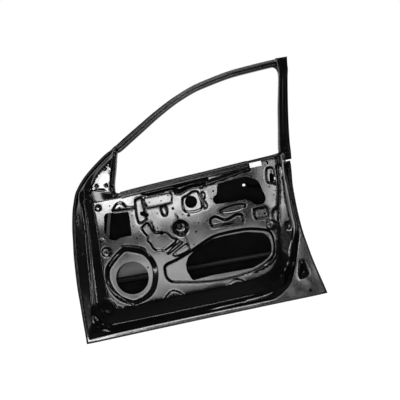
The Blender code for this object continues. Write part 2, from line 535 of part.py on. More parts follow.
class Sheet:
    """A pressed sheet as a height field: a base surface with pressed features, places and openings."""

    def __init__(self, border, base_depth):
        self.border = border
        self.base_depth = base_depth
        self.walls = []
        self.pads = []
        self.holes = []
        self.lines = []

    def press(self, outline, depth, wall):
        """Press a feature in: its floor lies inside the outline by the width of its wall."""
        self.walls.append((outline, depth, wall))
        self.lines.append(outline)
        self.lines.append(offset_outline(outline, -wall))

    def flatten(self, centre, outline, wall):
        """Make a flat pad that follows the slope of the base surface at its centre."""
        slope_x, slope_z = self.slope(centre, wall * 2)
        self.pads.append((centre, self.depth(centre.x, centre.y), slope_x, slope_z, outline, wall))
        self.lines.append(outline)
        self.lines.append(offset_outline(outline, -wall))

    def cut(self, outline):
        self.holes.append(outline)

    def depth(self, x, z):
        spot = Vector((x, z))
        depth = self.base_depth(x, z)
        for centre, middle, slope_x, slope_z, outline, wall in self.pads:
            share = ramp(distance_to(spot, outline), wall)
            if share > 0:
                plane = middle + slope_x * (x - centre.x) + slope_z * (z - centre.y)
                depth += share * (plane - depth)
        for outline, height, wall in self.walls:
            depth += height * ramp(distance_to(spot, outline), wall)
        return depth

    def slope(self, spot, reach):
        """How steeply the sheet rises along X and along Z at a place."""
        across = self.depth(spot.x + reach, spot.y) - self.depth(spot.x - reach, spot.y)
        upward = self.depth(spot.x, spot.y + reach) - self.depth(spot.x, spot.y - reach)
        return across / (2 * reach), upward / (2 * reach)

    def outward(self, spot, reach):
        """The sheet's own direction outward at a place."""
        slope_x, slope_z = self.slope(spot, reach)
        return Vector((-slope_x, 1, -slope_z)).normalized()

    def shape(self):
        """Work out the sheet's corners and triangles once everything is pressed and cut."""
        flat, faces = triangulate(self.border, self.holes, self.lines, MESH_PITCH)
        used = sorted({corner for face in faces for corner in face})
        place = {old: new for new, old in enumerate(used)}
        self.corners = [Vector((flat[old].x, self.depth(flat[old].x, flat[old].y), flat[old].y))
                        for old in used]
        self.faces = [tuple(place[corner] for corner in face) for face in faces]
        self.tree = BVHTree.FromPolygons(self.corners, self.faces, epsilon=0)

    def facet_depth(self, x, z):
        """Depth of the finished triangles at a place, or of the surface itself over an opening."""
        spot = self.tree.ray_cast(Vector((x, -DOOR_LENGTH, z)), Vector((0, 1, 0)))[0]
        return self.depth(x, z) if spot is None else spot.y

    def within(self, outline):
        """The sheet's own corners and triangles inside a convex outline, anticlockwise, cut at its edge."""
        work = bmesh.new()
        corners = [work.verts.new(corner) for corner in self.corners]
        for face in self.faces:
            work.faces.new([corners[corner] for corner in face])
        for a, b in zip(outline, outline[1:] + outline[:1]):
            bmesh.ops.bisect_plane(
                work, geom=work.verts[:] + work.edges[:] + work.faces[:], dist=CLEARANCE / 10,
                plane_co=(a.x, 0, a.y), plane_no=(b.y - a.y, 0, a.x - b.x), clear_outer=True)
        bmesh.ops.remove_doubles(work, verts=work.verts, dist=CLEARANCE / 10)
        work.verts.index_update()
        kept = [vert.co.copy() for vert in work.verts]
        faces = [tuple(vert.index for vert in face.verts) for face in work.faces]
        work.free()
        return kept, faces


def header_seat(place):
    """How deep the panel's tongue lies where it laps the header, as a share of the flange's depth."""
    ridge = max(rise for _, rise in HEADER_SECTION_SHARES) * FRAME_DEPTH
    stack = ridge + FRAME_SHEET + CLEARANCE + PANEL_SHEET
    return 1 - stack / flange_depth(place.x, place.y)


def perimeter_lines():
    """The seven lines round the inner panel, from the flange's edge to the flat."""
    rows, grips = [], []
    for section, shares in PERIMETER_SHARES:
        rows.append([point(share) for share in shares])
        sharp = section in SHARP_SECTIONS
        grips.append([0 if sharp and line in SHARP_LINES else 1 for line in LINE_NAMES])
    levels = []
    for (section, _), row in zip(PERIMETER_SHARES, rows):
        row_levels = [header_seat(place) if section == "apex" and line in SHARP_LINES else level
                      for line, level, place in zip(LINE_NAMES, SECTION_SHARES[section], row)]
        levels.append([Vector((level, 0)) for level in row_levels])
    smooth = smooth_rows(rows, grips, CURVE_STEPS, True)
    smooth_levels = smooth_rows(levels, [[0] * len(levels[0])] * len(levels), CURVE_STEPS, True)
    lifted = []
    for row, row_levels in zip(smooth, smooth_levels):
        line = [Vector((p.x, level.x * flange_depth(p.x, p.y), p.y)) for p, level in zip(row, row_levels)]
        flat = row[-1]
        lifted.append(line + [Vector((flat.x, trim_depth(flat.x, flat.y), flat.y))])
    return lifted


def perimeter_depth(rows):
    """A function that gives the depth of the perimeter bands, and of the flat inside them."""
    inner = [Vector((row[-1].x, row[-1].z)) for row in rows]
    corners = [corner for row in rows for corner in row]
    width = len(rows[0])
    faces = []
    for index in range(len(rows)):
        following = (index + 1) % len(rows)
        for line in range(width - 1):
            a, b = index * width + line, index * width + line + 1
            c, d = following * width + line + 1, following * width + line
            faces.append((a, b, c))
            faces.append((a, c, d))
    tree = BVHTree.FromPolygons([Vector((p.x, 0, p.z)) for p in corners], faces, epsilon=0)

    def depth(x, z):
        if is_inside(Vector((x, z)), inner):
            return trim_depth(x, z)
        spot, _, face, _ = tree.find_nearest(Vector((x, 0, z)))
        a, b, c = (corners[corner] for corner in faces[face])
        flats = [Vector((p.x, 0, p.z)) for p in (a, b, c)]
        return barycentric_transform(spot, *flats, a, b, c).y

    return depth


def pad_outline(centre, length, height):
    half_length, half_height = length / 2, height / 2
    corners = ((-half_length, -half_height), (half_length, -half_height),
               (half_length, half_height), (-half_length, half_height))
    return [centre + Vector(corner) for corner in corners]


def design_panel():
    """The inner panel's surface with everything pressed and cut in it."""
    rows = perimeter_lines()
    flats = [[Vector((row[line].x, row[line].z)) for row in rows] for line in range(len(rows[0]))]
    sheet = Sheet(flats[0], perimeter_depth(rows))
    sheet.lines.extend(flats[1:])
    for share in HINGE_PAD_SHARES.values():
        centre = point(share)
        sheet.flatten(centre, pad_outline(centre, HINGE_PAD_LENGTH, HINGE_PAD_HEIGHT), PAD_WALL)
    check = point(CHECK_PAD_SHARE)
    sheet.flatten(check, pad_outline(check, CHECK_PAD_LENGTH, CHECK_PAD_HEIGHT), PAD_WALL)
    for name, (depth, wall) in FEATURES.items():
        steps = CURVE_STEPS_SHORT if len(FEATURE_SHARES[name]) > 8 else CURVE_STEPS
        sheet.press(smooth_outline(points(FEATURE_SHARES[name]), steps), depth, wall)
    for name, (depth, radius) in ROUND_FEATURES.items():
        sheet.press(circle(point(ROUND_FEATURE_SHARES[name]), radius, 12), depth, STEEP_WALL)
    for shares in OPENING_SHARES.values():
        sheet.cut(points(shares))
    sheet.cut(circle(point(SPEAKER_SHARE), SPEAKER_RADIUS, 32))
    sheet.cut(circle(point(ROUND_WINDOW_SHARE), ROUND_WINDOW_RADIUS, 16))
    sheet.cut(circle(point(HEX_HOLE_SHARE), HEX_HOLE_RADIUS, 6))
    for size, radius in (("large", LARGE_HOLE), ("medium", MEDIUM_HOLE), ("small", SMALL_HOLE)):
        for share in ROUND_HOLE_SHARES[size]:
            sheet.cut(circle(point(share), radius, 8))
    sheet.shape()
    return sheet, rows


def make_material(name, colour, roughness, metallic):
    material = bpy.data.materials.new(name)
    material.use_nodes = True
    surface = material.node_tree.nodes["Principled BSDF"]
    surface.inputs["Base Color"].default_value = colour
    surface.inputs["Roughness"].default_value = roughness
    surface.inputs["Metallic"].default_value = metallic
    return material


class Door:
    """The door's collections, its root and its pieces."""

    def __init__(self, origin):
        self.parts = bpy.data.collections.new("car_door_shell")
        self.cutters = bpy.data.collections.new("cutters")
        bpy.context.scene.collection.children.link(self.parts)
        bpy.context.scene.collection.children.link(self.cutters)
        self.root = bpy.data.objects.new("root", None)
        self.root.location = -origin
        self.parts.objects.link(self.root)
        self.primer = make_material("black_primer", BLACK_PRIMER, 0.32, 0.0)
        self.steel = make_material("primed_steel", ZINC_STEEL, 0.45, 0.0)
        self.paper = make_material("white_paper", PAPER_WHITE, 0.70, 0.0)

    def add(self, name, data, material):
        piece = bpy.data.objects.new(name, data)
        data.materials.append(material)
        self.parts.objects.link(piece)
        piece.parent = self.root
        return piece

    def add_sheet(self, name, corners, faces, material, thickness, start=0.0, side=1):
        """A sheet of even thickness, from a start distance on the faces' own side or the other."""
        mesh = bpy.data.meshes.new(name)
        mesh.from_pydata(corners, [], faces)
        mesh.update()
        mesh.shade_smooth()
        mesh.set_sharp_from_angle(angle=math.radians(30))
        piece = self.add(name, mesh, material)
        shell = piece.modifiers.new("sheet", "SOLIDIFY")
        shell.thickness = thickness
        shell.offset = side * (1 + 2 * start / thickness)
        shell.use_even_offset = True
        shell.use_quality_normals = True
        return piece

    def add_liner(self, name, sheet, outline, material, thickness, backing, side=-1):
        """A plate that follows another sheet over an outline, at the clearance from its back."""
        corners, faces = sheet.within(outline)
        return self.add_sheet(name, corners, faces, material, thickness, backing + CLEARANCE, side)


def loft_faces(rows, width):
    """Quads between matched rows of corners."""
    faces = []
    for row in range(rows - 1):
        for column in range(width - 1):
            first = row * width + column
            faces.append((first, first + 1, first + width + 1, first + width))
    return faces


def add_loft(door, name, rows, material, thickness, side=1):
    corners = [corner for row in rows for corner in row]
    return door.add_sheet(name, corners, loft_faces(len(rows), len(rows[0])), material, thickness, 0.0, side)


def add_inner_panel(door, panel):
    return door.add_sheet("inner_panel", panel.corners, panel.faces, door.primer, PANEL_SHEET, 0.0, -1)


def design_skin(rows):
    """The outer skin's inner surface, and the border where its hem begins."""
    sections = [section for section, _ in PERIMETER_SHARES]
    after_hem = len(sections) - sections[::-1].index(HEM_TO)
    first = sections.index(HEM_FROM) * CURVE_STEPS
    last = (after_hem - 1) * CURVE_STEPS + 1
    hemmed = [Vector((row[0].x, row[0].z)) for row in rows[first:] + rows[:last]]
    top = points(SKIN_TOP_SHARES)
    border = hemmed + top
    moved = offset_outline(border, CLEARANCE)
    border = moved[:len(hemmed)] + top
    skin = Sheet(border, lambda x, z: flange_depth(x, z) + PANEL_SHEET + CLEARANCE)
    feet = [Vector((row[1].x, row[1].z)) for row in rows[first:] + rows[:last]]
    skin.lines.append(feet + offset_outline(border, -HEM_LAP)[len(hemmed):])
    skin.press(points(SKIN_CREASE_SHARES), SKIN_CREASE_DEPTH, SKIN_CREASE_WALL)
    skin.press(smooth_outline(points(HANDLE_BOWL_SHARES), CURVE_STEPS), -HANDLE_BOWL_DEPTH, HANDLE_BOWL_WALL)
    for shares in HANDLE_SLOT_SHARES:
        skin.cut(points(shares))
    skin.cut(points(SKIN_MIRROR_SHARES))
    skin.shape()
    return skin, len(hemmed)


def add_outer_skin(door, skin, hemmed_count):
    """The skin with its hem folded round the panel's flange, and its own flange along the belt."""
    corners = list(skin.corners)
    faces = [tuple(reversed(face)) for face in skin.faces]
    fold = PANEL_SHEET / 2 + CLEARANCE
    apex = offset_outline(skin.border, fold)
    lap = offset_outline(skin.border, -HEM_LAP)
    count = len(skin.border)
    start = len(corners)
    for index, spot in enumerate(skin.border):
        surface = skin.base_depth(spot.x, spot.y)
        corners.append(Vector((spot.x, surface, spot.y)))
        if index < hemmed_count:
            inner = lap[index]
            drop = skin.base_depth(inner.x, inner.y) - 2 * fold
            corners.append(Vector((apex[index].x, surface - fold, apex[index].y)))
            corners.append(Vector((spot.x, surface - 2 * fold, spot.y)))
            corners.append(Vector((inner.x, drop, inner.y)))
        else:
            outer = apex[index]
            for share in BELT_FLANGE_SHARES:
                corners.append(Vector((outer.x, surface - BELT_FLANGE * share, outer.y)))
    turned = loft_faces(hemmed_count, 4)
    belt = hemmed_count + BELT_FLANGE_FIRST
    turned += [tuple(belt * 4 + corner for corner in face) for face in loft_faces(count - 1 - belt, 4)]
    strip = [tuple(start + corner for corner in reversed(face)) for face in turned]
    piece = door.add_sheet("outer_skin", corners, faces + strip, door.primer, SKIN_SHEET)
    weld = bmesh.new()
    weld.from_mesh(piece.data)
    bmesh.ops.remove_doubles(weld, verts=weld.verts, dist=CLEARANCE / 10)
    bmesh.ops.triangulate(weld, faces=[face for face in weld.faces if len(face.verts) > 3])
    weld.to_mesh(piece.data)
    weld.free()
    return piece


def add_header(door):
    """The rolled header, from the top of the pillar to the rear sash."""
    rows = [[point(share[:2]), Vector((share[2], 0))] for share in HEADER_SHARES]
    smooth = smooth_rows(rows, [[1, 1]] * len(rows), CURVE_STEPS, False)
    stations = []
    for index, (here, width) in enumerate(smooth):
        before = smooth[max(index - 1, 0)][0]
        after = smooth[min(index + 1, len(smooth) - 1)][0]
        along = (after - before).normalized()
        inward = Vector((along.y, -along.x))
        station = []
        for across, rise in HEADER_SECTION_SHARES:
            spot = here + inward * (across * width.x)
            station.append(Vector((spot.x, flange_depth(spot.x, spot.y) - rise * FRAME_DEPTH, spot.y)))
        stations.append(station)
    return add_loft(door, "header_frame", stations, door.primer, FRAME_SHEET, 1)


def sash_stations(section):
    rows = []
    for height, front, rear in SASH_SHARES:
        rows.append([point((front, height)), point((rear, height))])
    smooth = smooth_rows(rows, [[1, 1]] * len(rows), CURVE_STEPS_SHORT, False)
    stations = []
    for front, rear in smooth:
        station = []
        for across, rise in section:
            spot = front.lerp(rear, across)
            station.append(Vector((spot.x, flange_depth(spot.x, spot.y) - rise * FRAME_DEPTH, spot.y)))
        stations.append(station)
    return stations


def add_sash(door):
    """The pressed rear sash and the cover that closes it on the outside."""
    add_loft(door, "rear_sash", sash_stations(SASH_SECTION_SHARES), door.primer, FRAME_SHEET, -1)
    back = (FRAME_SHEET + CLEARANCE) / FRAME_DEPTH
    cover = [(across, -back) for across in SASH_COVER_SHARES]
    add_loft(door, "sash_cover", sash_stations(cover), door.primer, FRAME_SHEET, -1)


def add_inner_rail(door):
    """The corrugated rail along the belt, on the passenger side of the panel's edge."""
    rows = [[point(share)] for share in INNER_RAIL_SHARES]
    smooth = smooth_rows(rows, [[1]] * len(rows), CURVE_STEPS, False)
    stations = []
    for (top,) in smooth:
        stations.append([
            Vector((top.x, -CLEARANCE - rise * RAIL_DEPTH, top.y - drop * RAIL_HEIGHT))
            for drop, rise in RAIL_SECTION_SHARES])
    return add_loft(door, "belt_rail_inner", stations, door.primer, FRAME_SHEET, -1)


def add_run(door, panel, name, shares, opening):
    """A glass run channel: a folded strip whose open side faces the glass."""
    level = SECTION_SHARES["sail"][4]
    rows = [[point(share)] for share in shares]
    smooth = smooth_rows(rows, [[1]] * len(rows), CURVE_STEPS_LONG, False)
    half = RUN_DEPTH / 2 * opening
    stations = []
    for (spot,) in smooth:
        lip = max(panel.facet_depth(spot.x + side * half, spot.y) for side in RUN_SHARES)
        near = max(lip, level * flange_depth(spot.x, spot.y)) + PANEL_SHEET + 2 * CLEARANCE
        if opening < 0:
            near = flange_depth(spot.x, spot.y) - FRAME_DEPTH + FRAME_SHEET + CLEARANCE
        far = near + RUN_WIDTH
        stations.append([Vector((spot.x + half, near, spot.y)), Vector((spot.x - half, near, spot.y)),
                         Vector((spot.x - half, far, spot.y)), Vector((spot.x + half, far, spot.y))])
    return add_loft(door, name, stations, door.steel, RUN_SHEET, -opening)


def beam_meets_wall(panel, x, height):
    """Whether the beam, cut square at this place, would run into the plate that lines the wall."""
    stack = PANEL_SHEET + PLATE_SHEET + 2 * CLEARANCE
    centre = Vector((height, BEAM_DEPTH_SHARE * flange_depth(x, height)))
    for rim in circle(centre, BEAM_RADIUS, BEAM_SIDES):
        if panel.depth(x, rim.x) + stack / panel.outward(Vector((x, rim.x)), BEAM_WALL).y > rim.y:
            return True
    return False


def beam_end(panel, height, low, high):
    """Where the beam ends, between a place outside the door and one inside it."""
    for _ in range(BISECTION_STEPS):
        middle = (low + high) / 2
        if beam_meets_wall(panel, middle, height):
            low = middle
        else:
            high = middle
    return high


def add_beam(door, panel):
    """The side impact beam, a tube between its two brackets."""
    centre = PLAN_CENTRE_SHARE * DOOR_LENGTH
    ends = []
    for share, side in zip(BEAM_HEIGHT_SHARES, (0.0, DOOR_LENGTH)):
        height = share * DOOR_HEIGHT
        x = beam_end(panel, height, side, centre)
        ends.append(Vector((x, BEAM_DEPTH_SHARE * flange_depth(x, height), height)))
    curve = bpy.data.curves.new("impact_beam", "CURVE")
    curve.dimensions = "3D"
    curve.bevel_depth = BEAM_RADIUS - BEAM_WALL
    curve.bevel_resolution = 3
    curve.use_fill_caps = False
    spline = curve.splines.new("POLY")
    spline.points.add(1)
    for knot, spot in zip(spline.points, ends):
        knot.co = (*spot, 1)
    beam = door.add("impact_beam", curve, door.steel)
    wall = beam.modifiers.new("tube", "SOLIDIFY")
    wall.thickness = BEAM_WALL
    wall.offset = 1
    return ends


def nut_mesh():
    """A hexagonal weld nut with its bore, standing on its face."""
    blank = bpy.data.meshes.new("weld_nut_blank")
    shape = bmesh.new()
    bmesh.ops.create_cone(shape, cap_ends=True, segments=6, radius1=NUT_RADIUS, radius2=NUT_RADIUS,
                          depth=NUT_HEIGHT)
    bmesh.ops.translate(shape, verts=shape.verts, vec=(0, 0, NUT_HEIGHT / 2))
    shape.to_mesh(blank)
    shape.free()
    bore = bpy.data.meshes.new("nut_bore")
    shape = bmesh.new()
    bmesh.ops.create_cone(shape, cap_ends=True, segments=12, radius1=NUT_BORE, radius2=NUT_BORE,
                          depth=NUT_HEIGHT * 4)
    shape.to_mesh(bore)
    shape.free()
    return blank, bore


class Nuts:
    """Weld nuts, each its own object, sharing one bored mesh."""

    def __init__(self, door):
        self.door = door
        blank, bore = nut_mesh()
        cutter = bpy.data.objects.new("nut_bore", bore)
        cutter.hide_render = True
        cutter.display_type = "WIRE"
        door.cutters.objects.link(cutter)
        draft = bpy.data.objects.new("nut_draft", blank)
        door.cutters.objects.link(draft)
        cut = draft.modifiers.new("bore", "BOOLEAN")
        cut.operation = "DIFFERENCE"
        cut.solver = "EXACT"
        cut.object = cutter
        graph = bpy.context.evaluated_depsgraph_get()
        self.mesh = bpy.data.meshes.new_from_object(draft.evaluated_get(graph))
        self.mesh.name = "weld_nut"
        self.mesh.materials.clear()
        self.mesh.materials.append(door.steel)
        bpy.data.objects.remove(draft)

    def seat(self, name, sheet, spot, stack):
        """Seat a nut on the plate behind a sheet, square to the sheet there."""
        outward = sheet.outward(spot, NUT_RADIUS / 4)
        base = Vector((spot.x, sheet.depth(spot.x, spot.y), spot.y)) + outward * stack
        nut = bpy.data.objects.new(name, self.mesh)
        self.door.parts.objects.link(nut)
        nut.parent = self.door.root
        nut.location = base
        nut.rotation_mode = "QUATERNION"
        nut.rotation_quaternion = Vector((0, 0, 1)).rotation_difference(outward)


def add_reinforcements(door, panel, skin):
    """The plates inside the door, each lining the sheet that carries it."""
    for name, shares in HINGE_PLATE_SHARES.items():
        door.add_liner(f"hinge_plate_{name}", panel, points(shares), door.steel, PLATE_SHEET, PANEL_SHEET)
    for name, shares in (("check_plate", CHECK_PLATE_SHARES), ("latch_plate", LATCH_PLATE_SHARES),
                         ("beam_bracket_front", BRACKET_FRONT_SHARES),
                         ("beam_bracket_rear", BRACKET_REAR_SHARES),
                         ("mirror_plate", MIRROR_PLATE_SHARES)):
        door.add_liner(name, panel, points(shares), door.steel, PLATE_SHEET, PANEL_SHEET)
    door.add_liner("handle_plate", skin, points(HANDLE_PLATE_SHARES), door.steel, FRAME_SHEET, 0.0, 1)
    door.add_liner("belt_rail_outer", skin, points(OUTER_RAIL_SHARES), door.steel, FRAME_SHEET, 0.0, 1)


def add_nuts(door, panel):
    nuts = Nuts(door)
    stack = PANEL_SHEET + PLATE_SHEET + 2 * CLEARANCE
    up = Vector((0, 1))
    for name, share in HINGE_PAD_SHARES.items():
        for side in (-1, 1):
            spot = point(share) + up * (side * HINGE_NUT_SPACING / 2)
            nuts.seat(f"hinge_nut_{name}_{(side + 3) // 2}", panel, spot, stack)
    for side in (-1, 1):
        spot = point(CHECK_PAD_SHARE) + up * (side * CHECK_NUT_SPACING / 2)
        nuts.seat(f"check_nut_{(side + 3) // 2}", panel, spot, stack)
    for side in (-1, 0, 1):
        spot = point(LATCH_SHARE) + up * (side * LATCH_NUT_SPACING)
        nuts.seat(f"latch_nut_{side + 2}", panel, spot, stack)
    for name in ("front", "rear", "top"):
        spot = point(ROUND_FEATURE_SHARES[f"mirror_{name}_dimple"])
        nuts.seat(f"mirror_nut_{name}", panel, spot, stack)


def add_label(door):
    """A blank paper label below the belt, near the lock edge."""
    outline = points(LABEL_SHARES)
    corners = [Vector((p.x, -CLEARANCE, p.y)) for p in outline]
    return door.add_sheet("label", corners, [(0, 1, 2, 3)], door.paper, LABEL_THICKNESS, 0.0, 1)


def build():
    for existing in list(bpy.data.objects):
        bpy.data.objects.remove(existing)
    panel, rows = design_panel()
    hinge = point(HINGE_PAD_SHARES["lower"])
    door = Door(Vector((hinge.x, panel.depth(hinge.x, hinge.y), hinge.y)))
    add_inner_panel(door, panel)
    skin, hemmed_count = design_skin(rows)
    add_outer_skin(door, skin, hemmed_count)
    add_header(door)
    add_sash(door)
    add_inner_rail(door)
    add_run(door, panel, "front_glass_run", FRONT_RUN_SHARES, 1)
    add_run(door, panel, "rear_glass_run", REAR_RUN_SHARES, -1)
    add_beam(door, panel)
    add_reinforcements(door, panel, skin)
    add_nuts(door, panel)
    add_label(door)


build()
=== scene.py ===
"""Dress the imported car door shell: smooth pressings, window frame, spot welds, black primer, studio.

Metres, +Z up. Places on the door are in thousandths of its drawing's size, as they were read, and
become metres in one step. Depth is measured outward from the trim plane.
"""

import logging
import math
from collections.abc import Iterable, Sequence
from dataclasses import dataclass, field
from enum import Enum

import bpy
import numpy as np
from mathutils import Matrix, Vector
from mathutils.bvhtree import BVHTree
from mathutils.geometry import barycentric_transform, delaunay_2d_cdt


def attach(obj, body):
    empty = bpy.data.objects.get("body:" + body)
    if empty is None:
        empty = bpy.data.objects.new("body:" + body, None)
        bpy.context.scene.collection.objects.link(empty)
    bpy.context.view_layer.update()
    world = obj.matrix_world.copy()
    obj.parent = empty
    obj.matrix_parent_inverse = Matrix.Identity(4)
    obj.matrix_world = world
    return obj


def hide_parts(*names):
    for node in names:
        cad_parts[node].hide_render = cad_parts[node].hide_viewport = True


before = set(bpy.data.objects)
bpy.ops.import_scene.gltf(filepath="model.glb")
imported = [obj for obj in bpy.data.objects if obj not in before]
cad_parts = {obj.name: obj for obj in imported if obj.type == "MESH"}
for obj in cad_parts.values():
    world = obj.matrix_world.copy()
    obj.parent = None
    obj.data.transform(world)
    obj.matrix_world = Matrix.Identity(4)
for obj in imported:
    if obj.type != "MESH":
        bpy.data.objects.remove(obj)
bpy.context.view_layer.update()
LOG = logging.getLogger("door")

# Sizes in metres. A depth is measured outward from the trim plane.
DOOR_SIZE = 1.100       # what a thousand of the drawing's thousandths measure
HINGE_FACE = np.array((0.022, 0.0697086, 0.176))  # the shared frame's origin on the door
FLANGE_DEPTH = 0.118    # of the barrel at its deepest
BARREL_RADIUS = 2.500   # the door's curve from sill to roof
BARREL_CENTRE = 0.3795
PLAN_RADIUS = 10.000    # the door's curve from hinge edge to lock edge
PLAN_CENTRE = 0.550
SAIL_DEPTH = 0.025
CLEARANCE = 0.0003      # between sheets that lie on one another
EDGE_MARGIN = 0.008     # how far the perimeter's last slope runs on past the flange's edge
CREASE_ANGLE = 35.0     # past which an edge stays sharp, in degrees
PANEL_SHEET = 0.0008
SKIN_SHEET = 0.0007
FRAME_SHEET = 0.0012
FRAME_DEPTH = 0.026     # of the window frame's sections

# Sections whose edge and flange turn sharply.
SHARP_SECTIONS = ("rear_point", "front_point", "sail_foot", "apex", "lock_end", "lock_top", "shoulder")

# Rows round the door, each from the flange's edge inward to the flat: along and up, in turn.
PERIMETER: tuple[tuple[str, tuple[float, ...]], ...] = (
    ("sill", (220, -9, 220, 12, 220, 20, 220, 48, 220, 55, 220, 107, 220, 112)),
    ("sill", (427, -9, 427, 12, 428, 20, 428, 48, 428, 55, 430, 107, 430, 112)),
    ("sill", (621, -9, 621, 12, 621, 20, 621, 48, 621, 55, 620, 107, 620, 112)),
    ("sill", (723, -9, 722, 12, 720, 20, 717, 48, 714, 56, 700, 108, 699, 113)),
    ("sill_rear", (804, -9, 789, 13, 783, 26, 778, 44, 772, 62, 745, 113, 743, 118)),
    ("corner", (886, -9, 843, 40, 830, 50, 821, 66, 811, 80, 782, 122, 779, 127)),
    ("corner_rear", (957, -9, 872, 67, 855, 73, 843, 88, 834, 99, 812, 140, 808, 145)),
    ("rear_point", (1006, -8, 891, 104, 873, 109, 861, 116, 853, 120, 834, 165, 829, 168)),
    ("lock_low", (997, 40, 904, 134, 890, 141, 877, 145, 869, 145, 846, 195, 840, 196)),
    ("lock", (986, 95, 916, 165, 902, 170, 889, 178, 884, 179, 853, 225, 847, 226)),
    ("lock", (977, 146, 928, 202, 915, 207, 903, 214, 898, 215, 857, 255, 851, 255)),
    ("lock", (970, 197, 940, 239, 929, 244, 918, 250, 912, 250, 861, 285, 855, 286)),
    ("lock", (962, 262, 947, 285, 939, 288, 929, 292, 922, 292, 868, 315, 861, 316)),
    ("lock", (959, 330, 947, 332, 939, 332, 928, 334, 918, 335, 874, 345, 867, 346)),
    ("lock", (959, 398, 947, 398, 940, 398, 928, 399, 915, 400, 884, 400, 876, 400)),
    ("lock", (961, 460, 949, 460, 941, 460, 930, 460, 922, 460, 897, 455, 888, 455)),
    ("lock", (967, 510, 954, 511, 943, 510, 932, 510, 925, 510, 902, 500, 894, 500)),
    ("lock", (971, 548, 958, 546, 947, 546, 935, 545, 927, 545, 907, 545, 899, 545)),
    ("lock_end", (971.5, 556, 959.5, 555.5, 948, 555, 936, 555, 928, 555, 914.5, 555, 906.5, 555)),
    ("lock_top", (954.5, 559, 951, 559, 947.2, 559, 936.5, 561, 929, 562, 915.5, 562, 907, 562)),
    ("shoulder", (949, 574, 948, 573.5, 946.2, 573, 937, 574, 930, 575, 916, 573.5, 908, 572)),
    ("belt_rear", (945, 601, 941, 598, 937, 596, 931, 594, 925, 592, 914, 588, 907, 585)),
    ("belt", (890, 598, 890, 596.5, 890, 595, 890, 593.5, 890, 592, 889, 590, 888, 587)),
    ("belt", (790, 595, 790, 593.5, 790, 592, 790, 590.5, 790, 589, 790, 587, 790, 584)),
    ("belt", (600, 588, 600, 586.5, 600, 585, 600, 583.5, 600, 582, 600, 580, 600, 577)),
    ("belt", (400, 584, 400, 582.5, 400, 581, 400, 579.5, 400, 578, 400, 576, 400, 573)),
    ("belt", (300, 580, 300, 578.5, 300, 577, 300, 575.5, 300, 574, 299, 572, 297, 569)),
    ("sail_foot", (247, 576, 246, 574.5, 245, 573, 244, 571, 243, 569, 240, 566, 237, 562)),
    ("sail_foot", (236, 582, 234, 581, 232, 580, 229, 579, 226, 578, 222, 575, 219, 571)),
    ("sail", (240, 615, 238.5, 615, 236, 615, 232, 616, 229, 617, 224, 618, 220, 619)),
    ("sail", (259, 675, 257.5, 675, 255, 676, 251, 677, 248, 678, 243, 679, 239, 680)),
    ("sail", (276, 733, 274.5, 733, 272, 733, 268, 733, 265, 732, 259.5, 725.5, 254.5, 721)),
    ("apex", (287, 754.5, 283, 752.5, 277, 748, 273, 745, 269, 742, 261.5, 733.5, 254, 724.5)),
    ("apex", (274.5, 772.5, 273, 765.5, 268, 758, 266, 751, 264, 746, 258.5, 736, 252.5, 726)),
    ("pillar", (240, 754, 243, 746, 244, 743, 247, 737, 248, 733, 249, 728.5, 249.5, 723.5)),
    ("pillar", (212, 739, 216, 731, 218, 728, 220, 722, 222, 718, 226, 713, 229, 708)),
    ("pillar", (157, 702, 162, 694, 164, 691, 168, 686, 170, 683, 176, 679, 180, 674)),
    ("pillar", (119, 672, 125, 665, 128, 662, 132, 658, 136, 655, 149, 648, 153, 643)),
    ("pillar_low", (91, 644, 99, 638, 103, 636, 110, 633, 116, 630, 139, 624, 145, 621)),
    ("pillar_foot", (67, 612, 76, 608, 84, 607, 97, 606, 106, 605, 131, 605, 140, 606)),
    ("hinge", (51, 575, 61, 573, 80, 573, 98, 573, 103, 573, 130, 575, 138, 576)),
    ("hinge", (38, 537, 48, 537, 81, 537, 97, 537, 102, 537, 130, 540, 137, 541)),
    ("hinge", (23, 473, 33, 473, 78, 473, 92, 473, 97, 474, 127, 475, 134, 475)),
    ("hinge", (14, 417, 24, 417, 72, 417, 87, 418, 92, 418, 124, 420, 131, 420)),
    ("hinge", (5, 361, 15, 361, 64, 361, 80, 361, 85, 361, 120, 360, 127, 360)),
    ("hinge", (-2, 296, 8, 296, 57, 296, 72, 297, 77, 297, 115, 300, 122, 300)),
    ("hinge", (-8, 221, 2, 221, 48, 222, 63, 223, 68, 224, 112, 226, 119, 226)),
    ("hinge", (-10, 150, 0, 150, 38, 151, 56, 152, 61, 153, 109, 160, 116, 162)),
    ("hinge_low", (-12, 95, -2, 97, 28, 96, 57, 108, 63, 109, 110, 135, 118, 138)),
    ("hinge_low", (-13, 30, -2, 40, 25, 70, 65, 86, 71, 89, 118, 118, 125, 123)),
    ("front_point", (-14, -8, -1, 6, 36, 47, 82, 63, 87, 68, 132, 109, 136, 114)),
    ("sill_front", (40, -9, 42, 10, 66, 24, 113, 53, 116, 58, 150, 107, 150, 112)),
)
